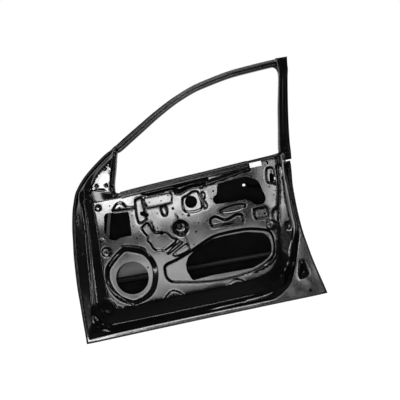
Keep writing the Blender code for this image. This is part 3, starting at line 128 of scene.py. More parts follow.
# The shaped openings of the inner panel.
OPENINGS: dict[str, tuple[float, ...]] = {
    "square": (173, 400, 186, 391, 205, 389, 215, 395, 266, 395, 273, 475, 274, 493, 214, 499, 205, 504,
        180, 505, 172, 497, 166, 470, 159, 430),
    "upper": (648, 520, 645, 500, 640, 487, 625, 480, 620, 469, 622, 457, 632, 447, 700, 444, 735, 443,
        760, 440, 775, 425, 790, 412, 806, 408, 822, 412, 832, 422, 834, 440, 823, 490, 818, 507, 785,
        531, 765, 535, 700, 532, 655, 529),
    "lower": (473, 162, 560, 166, 640, 163, 725, 161, 770, 176, 795, 190, 812, 207, 818, 235, 815, 264,
        805, 284, 791, 295, 727, 312, 636, 315, 582, 312, 509, 284, 474, 262, 458, 235, 456, 205, 466,
        176),
    "mirror": (173, 636, 183, 631, 215, 628, 222, 634, 226, 655, 223, 663, 213, 667, 198, 668),
    "key": (318, 484, 316, 467, 330, 462, 339, 456, 352, 457, 353, 471, 340, 475, 333, 480),
    "teardrop": (866, 498, 869, 491, 880, 489, 888, 494, 889, 503, 882, 524, 875, 528, 869, 523),
    "hook": (864, 580, 863, 576, 868, 572, 868, 564, 873, 563, 875, 570, 873, 578),
}
# The small round holes: radius, then where each lies.
ROUND_HOLES: dict[str, tuple[float, tuple[float, ...]]] = {
    "large": (0.007, (241, 514, 454, 468, 511, 427)),
    "medium": (0.005, (214, 676, 225, 697, 303, 253, 526, 355, 630, 503, 816, 370, 383, 121)),
    "small": (0.0038, (203, 532, 284, 473, 280, 431, 285, 380, 301, 387, 445, 525, 365, 513, 388, 462,
        375, 403, 487, 436, 508, 306, 544, 389, 577, 388, 428, 285, 615, 475, 858, 473, 879, 452, 870,
        437, 858, 364, 861, 335, 831, 320, 405, 528, 413, 509, 150, 347, 463, 391)),
}
# Shaped pressings: how far outward (less than none: toward the passenger), the wall's width, the foot.
PRESSINGS: dict[str, tuple[float, float, tuple[float, ...]]] = {
    "speaker_seat": (0.01, 0.022, (122, 232, 128, 200, 140, 172, 160, 146, 190, 125, 215, 114, 245, 117,
        285, 131, 315, 158, 334, 200, 341, 240, 336, 275, 322, 305, 300, 328, 262, 346, 226, 356, 195,
        342, 160, 315, 135, 290, 125, 262)),
    "lower_seat": (0.01, 0.008, (365, 218, 367, 195, 385, 173, 425, 162, 505, 146, 600, 137, 682, 141,
        727, 147, 782, 167, 818, 193, 830, 227, 833, 270, 820, 299, 782, 315, 727, 327, 640, 329, 592,
        325, 545, 309, 491, 286, 427, 264, 373, 249)),
    "regulator_plate": (0.005, 0.008, (341, 436, 312, 421, 308, 412, 318, 390, 326, 375, 321, 360, 332,
        344, 338, 325, 352, 310, 370, 308, 388, 304, 448, 338, 428, 354, 407, 381, 370, 386, 361, 394)),
    "regulator_bar": (-0.005, 0.004, (396, 298, 401, 289, 462, 321, 459, 331, 450, 330)),
    "regulator_step": (-0.003, 0.004, (416, 288, 427, 273, 487, 288, 480, 316, 472, 316)),
    "belt_recess": (0.018, 0.022, (340, 562, 352, 540, 460, 540, 474, 524, 500, 519, 530, 529, 560, 532,
        590, 524, 610, 545, 600, 566, 346, 566)),
    "belt_plate": (-0.003, 0.004, (352, 537, 350, 495, 360, 488, 450, 490, 456, 496, 455, 536)),
    "bracket_recess": (0.01, 0.008, (301, 440, 334, 440, 342, 450, 340, 535, 336, 543, 318, 540, 304,
        527)),
    "handle_pocket": (0.01, 0.008, (403, 486, 404, 450, 418, 443, 430, 452, 430, 484, 420, 489)),
    "round_window_pad": (0.005, 0.008, (498, 443, 570, 440, 572, 512, 545, 522, 522, 511, 497, 500)),
    "lock_bracket": (0.005, 0.004, (578, 443, 594, 443, 594, 462, 586, 475, 594, 488, 594, 506, 578,
        506)),
    "wave_recess": (0.018, 0.008, (588, 372, 592, 362, 604, 357, 716, 352, 728, 360, 729, 382, 722, 390,
        700, 393, 662, 381, 644, 386, 622, 401, 604, 402, 590, 392)),
    "square_recess": (0.01, 0.008, (772, 362, 780, 353, 824, 352, 834, 360, 834, 390, 826, 398, 782, 399,
        773, 392)),
    "edge_pad": (0.005, 0.008, (846, 330, 857, 318, 872, 316, 884, 388, 864, 384, 848, 374, 843, 352)),
    "rear_plate": (0.005, 0.008, (850, 494, 872, 482, 882, 474, 889, 479, 891, 505, 891, 546, 860, 549)),
    "eyebrow": (-0.005, 0.008, (208, 512, 220, 528, 233, 538, 250, 539, 262, 530, 272, 515, 298, 509, 298,
        500, 225, 505)),
    "front_gusset": (-0.003, 0.008, (340, 108, 383, 144, 428, 108)),
    "rear_gusset": (-0.003, 0.008, (604, 108, 645, 136, 684, 110)),
    "corner_pocket": (-0.018, 0.022, (905, 74, 932, 72, 950, 82, 948, 112, 938, 140, 918, 138)),
    "lower_shelf": (0.005, 0.008, (636, 422, 652, 404, 724, 401, 752, 424, 700, 434)),
}
# Round pressings: how far outward, radius, centre.
ROUND_PRESSINGS: dict[str, tuple[float, float, tuple[float, float]]] = {
    "front_boss": (0.005, 0.022, (150, 350)),
    "front_low_dimple": (0.01, 0.014, (108, 119)),
    "front_top_dimple": (0.005, 0.014, (154, 532)),
    "rear_boss": (-0.005, 0.022, (831, 320)),
    "lock_dimple": (0.01, 0.014, (902, 300)),
    "centre_recess": (0.01, 0.036, (468, 384)),
    "centre_well": (0.012, 0.027, (468, 384)),
    "screw_boss": (-0.012, 0.013, (463, 391)),
    "screw_seat": (0.005, 0.006, (463, 391)),
    "mirror_front_dimple": (0.005, 0.007, (164, 625)),
    "mirror_rear_dimple": (0.005, 0.007, (205, 619)),
    "mirror_top_dimple": (0.005, 0.007, (212, 688)),
}
# How deep each line of a section lies, as a share of the barrel's depth, from the edge to the wall's top.
SECTION_LEVELS: dict[str, tuple[float, ...]] = {
    "sill": (1, 1, 0.81, 0.75, 0.67, 0.04),
    "sill_rear": (1, 1, 0.81, 0.74, 0.6, 0.05),
    "corner": (1, 1, 0.82, 0.6, 0.45, 0.06),
    "corner_rear": (1, 1, 0.82, 0.5, 0.32, 0.07),
    "rear_point": (1, 1, 0.8, 0.4, 0.2, 0.08),
    "lock_low": (1, 1, 0.79, 0.35, 0.14, 0.08),
    "lock": (1, 1, 0.77, 0.3, 0.085, 0.08),
    "lock_end": (0.985, 0.985, 0.77, 0.3, 0.11, 0.08),
    "lock_top": (0.87, 0.84, 0.79, 0.3, 0.11, 0.08),
    "shoulder": (0.825, 0.815, 0.8, 0.3, 0.11, 0.08),
    "belt_rear": (0.62, 0.52, 0.4, 0.27, 0.14, 0.07),
    "belt": (0.14, 0.12, 0.1, 0.08, 0.05, 0.02),
    "sail_foot": (0.4, 0.37, 0.34, 0.32, 0.3, 0.2),
    "sail": (0.56, 0.5, 0.36, 0.36, 0.46, 0.46),
    "apex": (0.62, 0.58, 0.5, 0.46, 0.46, 0.44),
    "pillar": (1, 1, 0.86, 0.62, 0.57, 0.43),
    "pillar_low": (1, 1, 0.8, 0.6, 0.5, 0.32),
    "pillar_foot": (1, 1, 0.62, 0.52, 0.42, 0.17),
    "hinge": (1, 1, 0.48, 0.43, 0.37, 0.06),
    "hinge_low": (1, 1, 0.55, 0.5, 0.44, 0.06),
    "front_point": (1, 1, 0.66, 0.6, 0.53, 0.05),
    "sill_front": (1, 1, 0.76, 0.7, 0.62, 0.04),
}
# The outer skin: its edge along the belt and the sail, its mirror opening, the crease along the side,
# and the bowl and slots of the outside handle.
SKIN_TOP = (972.5, 561.5, 943, 562.5, 918, 564, 911, 574, 900, 582.5, 790, 581.5, 600, 576.5, 400, 572,
    300, 568, 240, 568, 226, 574.5, 229, 615, 250, 675, 266.5, 728, 262.5, 742, 252, 751)
SKIN_MIRROR = (158, 640, 185, 616, 222, 612, 228, 636, 233, 666, 222, 680, 196, 678, 175, 662)
SKIN_CREASE = (52, 373, 938, 373, 938, 537, 52, 537)
HANDLE_BOWL = (782, 490, 812, 482, 852, 482, 876, 490, 884, 502, 876, 514, 852, 522, 812, 522, 782, 514,
    774, 502)
HANDLE_SLOTS = ((756, 497, 768, 497, 768, 507, 756, 507), (892, 495, 918, 495, 918, 509, 892, 509))
# The header's top line with its width, and the sash's height with its front and rear edge.
HEADER_LINE = (
    (250, 759.5, 12), (260, 765.3, 23), (270.5, 771, 34), (324, 802, 35.5), (398, 842, 33.5),
    (454, 872, 32), (527, 906.5, 30), (582, 928, 29.5), (636, 945.5, 29.5), (691.5, 957, 30),
    (765, 969, 30.5), (819, 974.5, 31), (892, 977.5, 31.5), (950, 979, 31.5), (987.2, 979.3, 31.5),
)
SASH_LINE = (
    (567, 926.5, 979), (600, 928.5, 983), (630, 932.5, 985.2), (695, 945.5, 993.5), (777, 960.5, 1006.3),
    (859, 978.5, 1020.7), (905, 988, 1029.5), (930, 989.5, 1035), (946, 988, 1036.2),
    (979.5, 987.5, 1040.4),
)

# The belt rail's top edge.
RAIL_LINE = (256, 579, 300, 581.5, 400, 585, 600, 589.5, 700, 593, 789, 596)

# Flat pads of the two hinges and the door check: centre, then length and height in metres.
HINGE_PADS = ((20, 160, 0.036, 0.070), (58, 497, 0.036, 0.070), (36.5, 329, 0.034, 0.056))

# The speaker's hole, the round window, the hexagon and the two holes at the lock corner: place along,
# place up and radius, then the number of corners.
WIDE_HOLES = (
    ((232, 224, 0.074), 96), ((532, 479, 0.028), 40), ((388, 380, 0.011), 6),
    ((941, 15, 0.008), 16), ((972, 13, 0.004), 12),
)

# Sections of the window frame and the belt rail: share across, share of the depth.
HEADER_SECTION = (
    (.02, .00), (.18, .10), (.26, .62), (.34, .80), (.48, .82), (.53, .68), (.62, .68), (.67, .90),
    (.81, .92), (.86, .76), (.94, .74), (.97, .10), (.97, -.08), (.30, -.12),
)
SASH_SECTION = (
    (.00, .06), (.03, .78), (.08, 1.0), (.17, 1.02), (.22, .62), (.40, .60), (.55, .28), (.74, .24),
    (.80, .04), (1.0, .00),
)
RAIL_SECTION = (
    (.00, .10), (.18, .20), (.27, .80), (.50, 1.0), (.57, .62), (.66, .62), (.72, 1.0), (.92, .90),
    (1.0, .10),
)
HEADER_JOINT = slice(20, 22)  # the header's corners that its welds lie between
RAIL_HEIGHT = 0.0310
RAIL_DEPTH = 0.0070

# The sail's fold, in shares of the door: its ends along, its foot, and its top at each end.
SAIL_FRONT, SAIL_REAR = 0.150, 0.235
SAIL_FOOT = 0.558
SAIL_TOP_FRONT, SAIL_TOP_REAR = 0.608, 0.574

# The sail's two folds, where the sheet leaves the trim plane and where it lies flat again.
SAIL_FOLDS = (
    (60, 558, 150, 558, 235, 558, 320, 558),
    (60, 644, 150, 608, 192, 591, 235, 574, 320, 574),
)

# Narrow ribs and grooves: height toward the passenger (less than none: a groove), width, then the path.
RIBS: dict[str, tuple[float, float, tuple[float, ...]]] = {
    "plate_seam_high": (-0.0012, 0.005, (460, 440, 466, 408)),
    "plate_seam_low": (-0.0012, 0.005, (478, 355, 490, 290)),
    "plate_line_left": (-0.0012, 0.005, (352, 435, 362, 392, 388, 385)),
    "plate_line_right": (-0.0010, 0.004, (405, 385, 455, 332)),
    "front_step": (0.0022, 0.007, (103, 168, 130, 145, 150, 108)),
    "front_step_end": (0.0020, 0.006, (150, 122, 172, 110)),
    "hinge_bar": (0.0025, 0.008, (128, 407, 148, 398)),
    "front_arc_short": (0.0018, 0.006, (72, 130, 92, 98, 118, 82)),
    "front_arc_long": (0.0018, 0.006, (40, 95, 60, 65, 92, 42)),
    "hinge_tick_low": (0.0022, 0.006, (28, 145, 40, 145)),
    "hinge_tick_middle": (0.0022, 0.006, (58, 283, 66, 288)),
    "hinge_tick_high": (0.0022, 0.006, (46, 358, 54, 362)),
    "hinge_tick_top": (0.0022, 0.006, (70, 448, 80, 449)),
    "hinge_rib_front": (0.0020, 0.006, (46, 478, 49, 522)),
    "hinge_rib_rear": (0.0020, 0.006, (57, 478, 60, 522)),
    "speaker_rib_outer": (0.0020, 0.006, (125, 230, 150, 180, 215, 112)),
    "speaker_rib_crown": (0.0022, 0.008, (152, 288, 175, 312, 200, 330)),
    "speaker_rib_rear": (0.0022, 0.008, (222, 358, 262, 348, 300, 330, 320, 295)),
    "corner_ring_one": (0.0022, 0.007, (760, 65, 806, 84, 842, 112, 872, 150, 897, 215, 915, 250, 930, 290)),
    "corner_ring_two": (0.0018, 0.006, (770, 45, 806, 66, 838, 90)),
    "corner_ring_three": (0.0018, 0.006, (750, 25, 800, 47, 845, 75)),
    "corner_tick_low": (0.0022, 0.007, (862, 70, 872, 85)),
    "corner_tick_high": (0.0022, 0.007, (872, 100, 893, 125)),
    "lower_lip": (0.0020, 0.006, (680, 143, 740, 150, 795, 168, 826, 200, 838, 255)),
    "sail_stripe": (-0.0020, 0.006, (218, 585, 240, 653, 262, 722)),
    "gusset_line": (0.0015, 0.005, (590, 103, 638, 133)),
    "seal_line_outer": (0.0016, 0.006, (58, 250, 50, 190, 42, 140, 35, 105, 30, 80, 38, 62, 48, 50, 55, 35,
        75, 28, 100, 20, 250, 18, 450, 19, 600, 21, 700, 24, 780, 34)),
    "seal_line_inner": (0.0016, 0.006, (112, 620, 103, 550, 97, 450, 85, 360, 80, 320, 72, 250, 66, 190,
        61, 140, 62, 115, 80, 75, 105, 50, 130, 47, 300, 45, 500, 44, 700, 46, 760, 52)),
    "belt_roll": (0.0035, 0.020, (578, 534, 640, 541, 715, 551, 790, 561)),
    "seal_bead": (0.0016, 0.006, (930, 556, 925, 520, 928, 490, 935, 460, 940, 430, 938, 380)),
}


class Side(Enum):
    """Which way a strip's sheet thickness grows from its drawn line."""

    OUTWARD = -1.0
    INWARD = 1.0


def metres(places: Sequence[float]) -> np.ndarray:
    """Turn a flat run of places in thousandths into rows of x and z in metres.

    Args:
        places: Along and up, in turn, in thousandths of the door.

    Returns:
        One row for each place.
    """
    return np.array(places, float).reshape(-1, 2) * DOOR_SIZE / 1000


def in_frame(x: np.ndarray, depth: np.ndarray, z: np.ndarray) -> np.ndarray:
    """Put door places in the shared frame.

    Args:
        x: Along the door.
        depth: Outward from the trim plane.
        z: Up the door.

    Returns:
        Places in the shared frame, the last axis being x, y and z.
    """
    return np.stack(np.broadcast_arrays(x, depth, z), axis=-1) - HINGE_FACE


def barrel(x: np.ndarray, z: np.ndarray) -> np.ndarray:
    """Depth of the door's outer barrel.

    Args:
        x: Along the door.
        z: Up the door.

    Returns:
        The depth at each place.
    """
    fall = (z - BARREL_CENTRE) ** 2 / (2 * BARREL_RADIUS)
    return FLANGE_DEPTH - fall - (x - PLAN_CENTRE) ** 2 / (2 * PLAN_RADIUS)


def trim_plane(x: np.ndarray, z: np.ndarray) -> np.ndarray:
    """Depth of the flat inside the perimeter, folded outward at the sail.

    Args:
        x: Along the door.
        z: Up the door.

    Returns:
        The depth at each place.
    """
    across = (x / DOOR_SIZE - SAIL_FRONT) / (SAIL_REAR - SAIL_FRONT)
    top = SAIL_TOP_FRONT - np.minimum(across, 1) * (SAIL_TOP_FRONT - SAIL_TOP_REAR)
    up = (z / DOOR_SIZE - SAIL_FOOT) / (top - SAIL_FOOT)
    return SAIL_DEPTH * np.clip(2 - across, 0, 1) * np.clip(up, 0, 1)


def smooth_rows(rows: np.ndarray, grips: np.ndarray, steps: int, closed: bool) -> np.ndarray:
    """Run smooth curves through rows of matched places.

    Args:
        rows: Rows of places, rows by lines by coordinates.
        grips: How strongly each place bends its curve, none for a sharp corner.
        steps: Steps from each row to the next.
        closed: Whether the last row joins the first.

    Returns:
        The finer rows.
    """
    count = len(rows)
    spans = count if closed else count - 1
    shares = (np.arange(steps) / steps)[:, None, None]
    square, cube = shares ** 2, shares ** 3
    finer = []
    for index in range(spans):
        if closed:
            before, start, end, after = (rows[(index + shift) % count] for shift in (-1, 0, 1, 2))
            grip_end = grips[(index + 1) % count]
        else:
            before, start, end = rows[max(index - 1, 0)], rows[index], rows[index + 1]
            after = rows[min(index + 2, count - 1)]
            grip_end = grips[index + 1]
        leave = (end - before) * 0.5 * grips[index][:, None]
        arrive = (after - start) * 0.5 * grip_end[:, None]
        finer.append(start * (2 * cube - 3 * square + 1) + leave * (cube - 2 * square + shares)
                     + end * (3 * square - 2 * cube) + arrive * (cube - square))
    if not closed:
        finer.append(rows[-1:])
    return np.concatenate(finer)


def smooth_outline(outline: np.ndarray, steps: int, closed: bool = True) -> np.ndarray:
    """Round an outline through its corners.

    Args:
        outline: Its corners.
        steps: Steps from each corner to the next.
        closed: Whether it runs back to its start.

    Returns:
        The finer outline.
    """
    return smooth_rows(outline[:, None, :], np.ones((len(outline), 1)), steps, closed)[:, 0]


def round_corners(outline: np.ndarray, reach: float) -> np.ndarray:
    """Cut each corner of a closed outline back to a short arc.

    Args:
        outline: Its corners.
        reach: How far along each side the arc starts.

    Returns:
        The rounded outline.
    """
    rounded = []
    for before, here, after in zip(np.roll(outline, 1, 0), outline, np.roll(outline, -1, 0)):
        back, forth = before - here, after - here
        cut = min(reach, np.linalg.norm(back) * 0.45, np.linalg.norm(forth) * 0.45)
        start = here + back / np.linalg.norm(back) * cut
        end = here + forth / np.linalg.norm(forth) * cut
        for share in (0.0, 0.25, 0.5, 0.75, 1.0):
            rounded.append(start * (1 - share) ** 2 + here * 2 * share * (1 - share) + end * share ** 2)
    return np.array(rounded)


def resample(outline: np.ndarray, step: float, closed: bool = True) -> np.ndarray:
    """Space places evenly along an outline.

    Args:
        outline: Its corners.
        step: The distance between places.
        closed: Whether it runs back to its start.

    Returns:
        The places.
    """
    loop = np.vstack([outline, outline[:1]]) if closed else outline
    along = np.concatenate([[0.0], np.cumsum(np.linalg.norm(np.diff(loop, axis=0), axis=1))])
    count = max(int(round(along[-1] / step)), 6 if closed else 1)
    marks = np.linspace(0, along[-1], count + 1)
    if closed:
        marks = marks[:-1]
    return np.column_stack([np.interp(marks, along, loop[:, 0]), np.interp(marks, along, loop[:, 1])])


def ring(along: float, up: float, radius: float, count: int, turn: float = 0.0) -> np.ndarray:
    """A round outline.

    Args:
        along: Its centre along the door, in thousandths.
        up: Its centre up the door, in thousandths.
        radius: In metres.
        count: Number of corners.
        turn: Angle of its first corner.

    Returns:
        The outline in metres.
    """
    angles = turn + np.arange(count) * math.tau / count
    return metres((along, up))[0] + radius * np.column_stack([np.cos(angles), np.sin(angles)])


def offset_outline(outline: np.ndarray, distance: float) -> np.ndarray:
    """Move a closed outline outward, or inward where the distance is less than none.

    Args:
        outline: Its corners.
        distance: How far it moves.

    Returns:
        The moved outline.
    """
    x, z = outline[:, 0], outline[:, 1]
    turn = 1.0 if np.sum(x * np.roll(z, -1) - np.roll(x, -1) * z) > 0 else -1.0
    ahead = np.roll(outline, -1, 0) - outline
    ahead /= np.maximum(np.linalg.norm(ahead, axis=1, keepdims=True), 1e-9)
    behind = np.roll(ahead, 1, 0)
    normal = np.column_stack([ahead[:, 1] + behind[:, 1], -ahead[:, 0] - behind[:, 0]])
    spread = np.maximum(np.sum(normal ** 2, axis=1, keepdims=True) / 2, 0.6)
    return outline + normal * (turn * distance / spread)


def inside_of(x: np.ndarray, z: np.ndarray, outline: np.ndarray) -> np.ndarray:
    """Which places lie inside a closed outline.

    Args:
        x: Along the door.
        z: Up the door.
        outline: Its corners.

    Returns:
        True for each place inside.
    """
    inside = np.zeros(x.shape, bool)
    near = ((x >= outline[:, 0].min()) & (x <= outline[:, 0].max())
            & (z >= outline[:, 1].min()) & (z <= outline[:, 1].max()))
    px, pz = x[near], z[near]
    hit = np.zeros(px.shape, bool)
    for a, b in zip(outline, np.roll(outline, -1, 0)):
        if a[1] != b[1]:
            hit ^= ((a[1] > pz) != (b[1] > pz)) & (px < a[0] + (pz - a[1]) * (b[0] - a[0]) / (b[1] - a[1]))
    inside[near] = hit
    return inside


def reach_to(x: np.ndarray, z: np.ndarray, path: np.ndarray, closed: bool) -> np.ndarray:
    """Distance from places to a path.

    Args:
        x: Along the door.
        z: Up the door.
        path: Its corners.
        closed: Whether it runs back to its start.

    Returns:
        The distance of each place.
    """
    nearest = np.full(x.shape, np.inf)
    ends = np.roll(path, -1, 0) if closed else path[1:]
    for a, b in zip(path, ends):
        edge = b - a
        share = np.clip(((x - a[0]) * edge[0] + (z - a[1]) * edge[1]) / max(edge @ edge, 1e-12), 0, 1)
        nearest = np.minimum(nearest, (x - a[0] - share * edge[0]) ** 2 + (z - a[1] - share * edge[1]) ** 2)
    return np.sqrt(nearest)


@dataclass
class Relief:
    """A pressed sheet's depth outward from the trim plane, on an even grid over the door.

    Attributes:
        low: The grid's first corner.
        high: The grid's last corner.
        pitch: Its spacing.
    """

    low: tuple[float, float] = (-0.030, -0.030)
    high: tuple[float, float] = (1.130, 0.870)
    pitch: float = 0.0015
    x: np.ndarray = field(init=False)
    z: np.ndarray = field(init=False)
    depth: np.ndarray = field(init=False)

    def __post_init__(self) -> None:
        """Lay the grid out, with no depth yet."""
        self.x, self.z = np.meshgrid(np.arange(self.low[0], self.high[0], self.pitch),
                                     np.arange(self.low[1], self.high[1], self.pitch))
        self.depth = np.zeros_like(self.x)

    def window(self, outline: np.ndarray, margin: float) -> tuple[slice, slice]:
        """The part of the grid round an outline.

        Args:
            outline: Its corners.
            margin: How much further the part reaches.

        Returns:
            Slices of the grid's rows and columns.
        """
        first = np.floor((outline.min(0) - margin - self.low) / self.pitch).astype(int)
        last = np.ceil((outline.max(0) + margin - self.low) / self.pitch).astype(int) + 1
        first = np.maximum(first, 0)
        return slice(first[1], last[1]), slice(first[0], last[0])

    def press(self, outline: np.ndarray, height: float, wall: float) -> None:
        """Press a feature in.

        Args:
            outline: The foot of its wall.
            height: How far it is pressed outward, or toward the passenger where less than none.
            wall: The width of its wall, which lies inside the outline.
        """
        part = self.window(outline, 0.0)
        x, z = self.x[part], self.z[part]
        reach = np.where(inside_of(x, z, outline), reach_to(x, z, outline, True), 0.0)
        self.depth[part] += height * np.clip(reach / wall, 0, 1)

    def rib(self, path: np.ndarray, height: float, width: float) -> None:
        """Raise a narrow rounded rib toward the passenger, or press a groove.

        Args:
            path: The line it follows.
            height: How far it stands.
            width: From foot to foot.
        """
        part = self.window(path, width)
        reach = reach_to(self.x[part], self.z[part], path, False)
        self.depth[part] -= height * 0.5 * (1 + np.cos(np.pi * np.clip(reach / (width * 0.62), 0, 1)))

    def flatten(self, pad: tuple[float, float, float, float], wall: float) -> None:
        """Make a flat pad on the slope that it sits on.

        Args:
            pad: Its centre in thousandths, then its length and height in metres.
            wall: The width of its edge.
        """
        centre = metres(pad[:2])[0]
        half = np.array(pad[2:]) / 2
        part = self.window(np.array((centre - half, centre + half)), 0.0)
        x, z = self.x[part], self.z[part]
        step = 2 * wall
        spots = np.array([(0, 0), (step, 0), (-step, 0), (0, step), (0, -step)]) + centre
        here, right, left, above, below = self.sample(self.depth, spots[:, 0], spots[:, 1])
        plane = (here + (x - centre[0]) * (right - left) / (2 * step)
                 + (z - centre[1]) * (above - below) / (2 * step))
        inward = np.minimum(half[0] - np.abs(x - centre[0]), half[1] - np.abs(z - centre[1]))
        share = np.clip(inward / wall, 0, 1)
        self.depth[part] += share * (plane - self.depth[part])

    def soften(self, reach: float) -> None:
        """Round every crease by averaging.

        Args:
            reach: How far each place takes in its neighbours.
        """
        half = int(math.ceil(3 * reach / self.pitch))
        weights = np.exp(-0.5 * (np.arange(-half, half + 1) * self.pitch / reach) ** 2)
        weights /= weights.sum()
        padded = np.pad(self.depth, half, mode="edge")
        height, width = self.depth.shape
        rows = sum(weight * padded[:, shift:shift + width] for shift, weight in enumerate(weights))
        self.depth = sum(weight * rows[shift:shift + height] for shift, weight in enumerate(weights))

    def sample(self, values: np.ndarray, x: np.ndarray, z: np.ndarray) -> np.ndarray:
        """Read a grid of values between its nodes.

        Args:
            values: The grid's values.
            x: Along the door.
            z: Up the door.

        Returns:
            The value at each place.
        """
        column = np.clip((x - self.low[0]) / self.pitch, 0, values.shape[1] - 1.001)
        row = np.clip((z - self.low[1]) / self.pitch, 0, values.shape[0] - 1.001)
        left, below = column.astype(int), row.astype(int)
        across, up = column - left, row - below
        return ((values[below, left] * (1 - across) + values[below, left + 1] * across) * (1 - up)
                + (values[below + 1, left] * (1 - across) + values[below + 1, left + 1] * across) * up)

    def normals(self, x: np.ndarray, z: np.ndarray) -> np.ndarray:
        """The sheet's direction toward the passenger at each place.

        Args:
            x: Along the door.
            z: Up the door.

        Returns:
            One unit direction for each place.
        """
        slope_z, slope_x = np.gradient(self.depth, self.pitch)
        normal = np.column_stack([self.sample(slope_x, x, z), -np.ones(len(x)), self.sample(slope_z, x, z)])
        return normal / np.linalg.norm(normal, axis=1, keepdims=True)


@dataclass
class Blank:
    """The places of a sheet's mesh, thinned so that none crowd each other.

    Attributes:
        gap: The least distance between places.
    """

    gap: float
    cells: dict[tuple[int, int], list[tuple[float, float]]] = field(default_factory=dict)
    spots: list[tuple[float, float]] = field(default_factory=list)

    def crowded(self, x: float, z: float, gap: float) -> bool:
        """Whether a place lies too near one that is already there.

        Args:
            x: Along the door.
            z: Up the door.
            gap: The least distance.

        Returns:
            True where it lies nearer than the gap.
        """
        column, row = int(x // self.gap), int(z // self.gap)
        span = int(math.ceil(gap / self.gap))
        for i in range(column - span, column + span + 1):
            for j in range(row - span, row + span + 1):
                for other in self.cells.get((i, j), ()):
                    if (other[0] - x) ** 2 + (other[1] - z) ** 2 < gap * gap:
                        return True
        return False

    def add(self, places: Iterable[tuple[float, float]], gap: float) -> None:
        """Add the places that aren't crowded.

        Args:
            places: The places to add.
            gap: How far they stay from those already there, or none to add them all.
        """
        for x, z in places:
            if gap and self.crowded(x, z, gap):
                continue
            self.cells.setdefault((int(x // self.gap), int(z // self.gap)), []).append((x, z))
            self.spots.append((x, z))


@dataclass
class PressedSheet:
    """A sheet of even thickness that follows a relief between its border and its openings.

    Attributes:
        relief: The depth of its passenger side.
        border: Its outer edge.
        holes: The edges of its openings.
        creases: Lines that the mesh is finer along.
        thickness: The sheet's own.
        pitch: Spacing of the mesh on the flats.
        fillet: How far the rows beside a crease lie from it.
        step: Spacing of places along edges and creases.
        gap: The least distance between places beside a crease.
    """

    relief: Relief
    border: np.ndarray
    holes: list[np.ndarray]
    creases: list[np.ndarray]
    thickness: float
    pitch: float = 0.0070
    fillet: float = 0.0017
    step: float = 0.0038
    gap: float = 0.0013

    def within(self, x: np.ndarray, z: np.ndarray) -> np.ndarray:
        """Which places lie on the sheet.

        Args:
            x: Along the door.
            z: Up the door.

        Returns:
            True for each place on the sheet.
        """
        kept = inside_of(x, z, self.border)
        for hole in self.holes:
            kept &= ~inside_of(x, z, hole)
        return kept

    def places(self) -> tuple[list[Vector], list[tuple[int, int]]]:
        """Lay out the mesh's places.

        Returns:
            The places, and the edges that must be kept.
        """
        blank = Blank(self.gap)
        edges: list[tuple[int, int]] = []
        for outline in [self.border] + self.holes:
            loop = resample(outline, self.step)
            first = len(blank.spots)
            blank.add(map(tuple, loop), 0.0)
            edges += [(first + here, first + (here + 1) % len(loop)) for here in range(len(loop))]
        rows = []
        for crease in self.creases:
            loop = resample(crease, self.step)
            rows += [offset_outline(loop, self.fillet * share) for share in (0, 1, -1, 2, -2)]
        spots = np.vstack(rows)
        blank.add(map(tuple, spots[self.within(spots[:, 0], spots[:, 1])]), self.gap)
        low, high = self.border.min(0), self.border.max(0)
        columns, lines = np.meshgrid(np.arange(low[0], high[0], self.pitch),
                                     np.arange(low[1], high[1], self.pitch))
        columns[1::2] += self.pitch / 2
        spots = np.column_stack([columns.ravel(), lines.ravel()])
        blank.add(map(tuple, spots[self.within(spots[:, 0], spots[:, 1])]), self.pitch * 0.55)
        return [Vector(spot) for spot in blank.spots], edges

    def build(self, name: str) -> tuple[np.ndarray, list[tuple[int, ...]], np.ndarray]:
        """Make the closed sheet.

        Args:
            name: For the log.

        Returns:
            Its corners, its faces, and the normal of each face's corner.
        """
        spots, edges = self.places()
        flat, _, triangles, _, _, _ = delaunay_2d_cdt(spots, edges, [], 0, 1e-7)
        flat_places = np.array([tuple(spot) for spot in flat])
        faces = np.array([face for face in triangles if len(face) == 3])
        middles = flat_places[faces].mean(axis=1)
        faces = faces[self.within(middles[:, 0], middles[:, 1])]
        used, faces = np.unique(faces, return_inverse=True)
        faces = faces.reshape(-1, 3)
        x, z = flat_places[used].T
        a, b, c = (np.column_stack([x, z])[faces[:, corner]] for corner in range(3))
        turned = np.cross(b - a, c - a) < 0
        faces[turned] = faces[turned][:, ::-1]
        normals = self.relief.normals(x, z)
        near = in_frame(x, self.relief.sample(self.relief.depth, x, z), z)
        far = near - normals * self.thickness
        count = len(x)
        directed = np.vstack([faces[:, [0, 1]], faces[:, [1, 2]], faces[:, [2, 0]]])
        sides = np.sort(directed, axis=1)
        _, place, times = np.unique(sides, axis=0, return_index=True, return_counts=True)
        rim = directed[place[times == 1]]
        walls = np.column_stack([rim[:, 1], rim[:, 0], rim[:, 0] + count, rim[:, 1] + count])
        back = faces[:, ::-1] + count
        corners = np.vstack([near, far])
        edge = near[rim[:, 1]] - near[rim[:, 0]]
        outward = np.cross(edge, far[rim[:, 0]] - near[rim[:, 0]])
        outward = -outward / np.maximum(np.linalg.norm(outward, axis=1, keepdims=True), 1e-12)
        loop_normals = np.vstack([normals[faces].reshape(-1, 3), -normals[back - count].reshape(-1, 3),
                                  np.repeat(outward, 4, axis=0)])
        LOG.info("%s: %d triangles", name, 2 * len(faces) + 2 * len(walls))
        all_faces = [tuple(face) for part in (faces, back, walls) for face in part.tolist()]
        return corners, all_faces, loop_normals


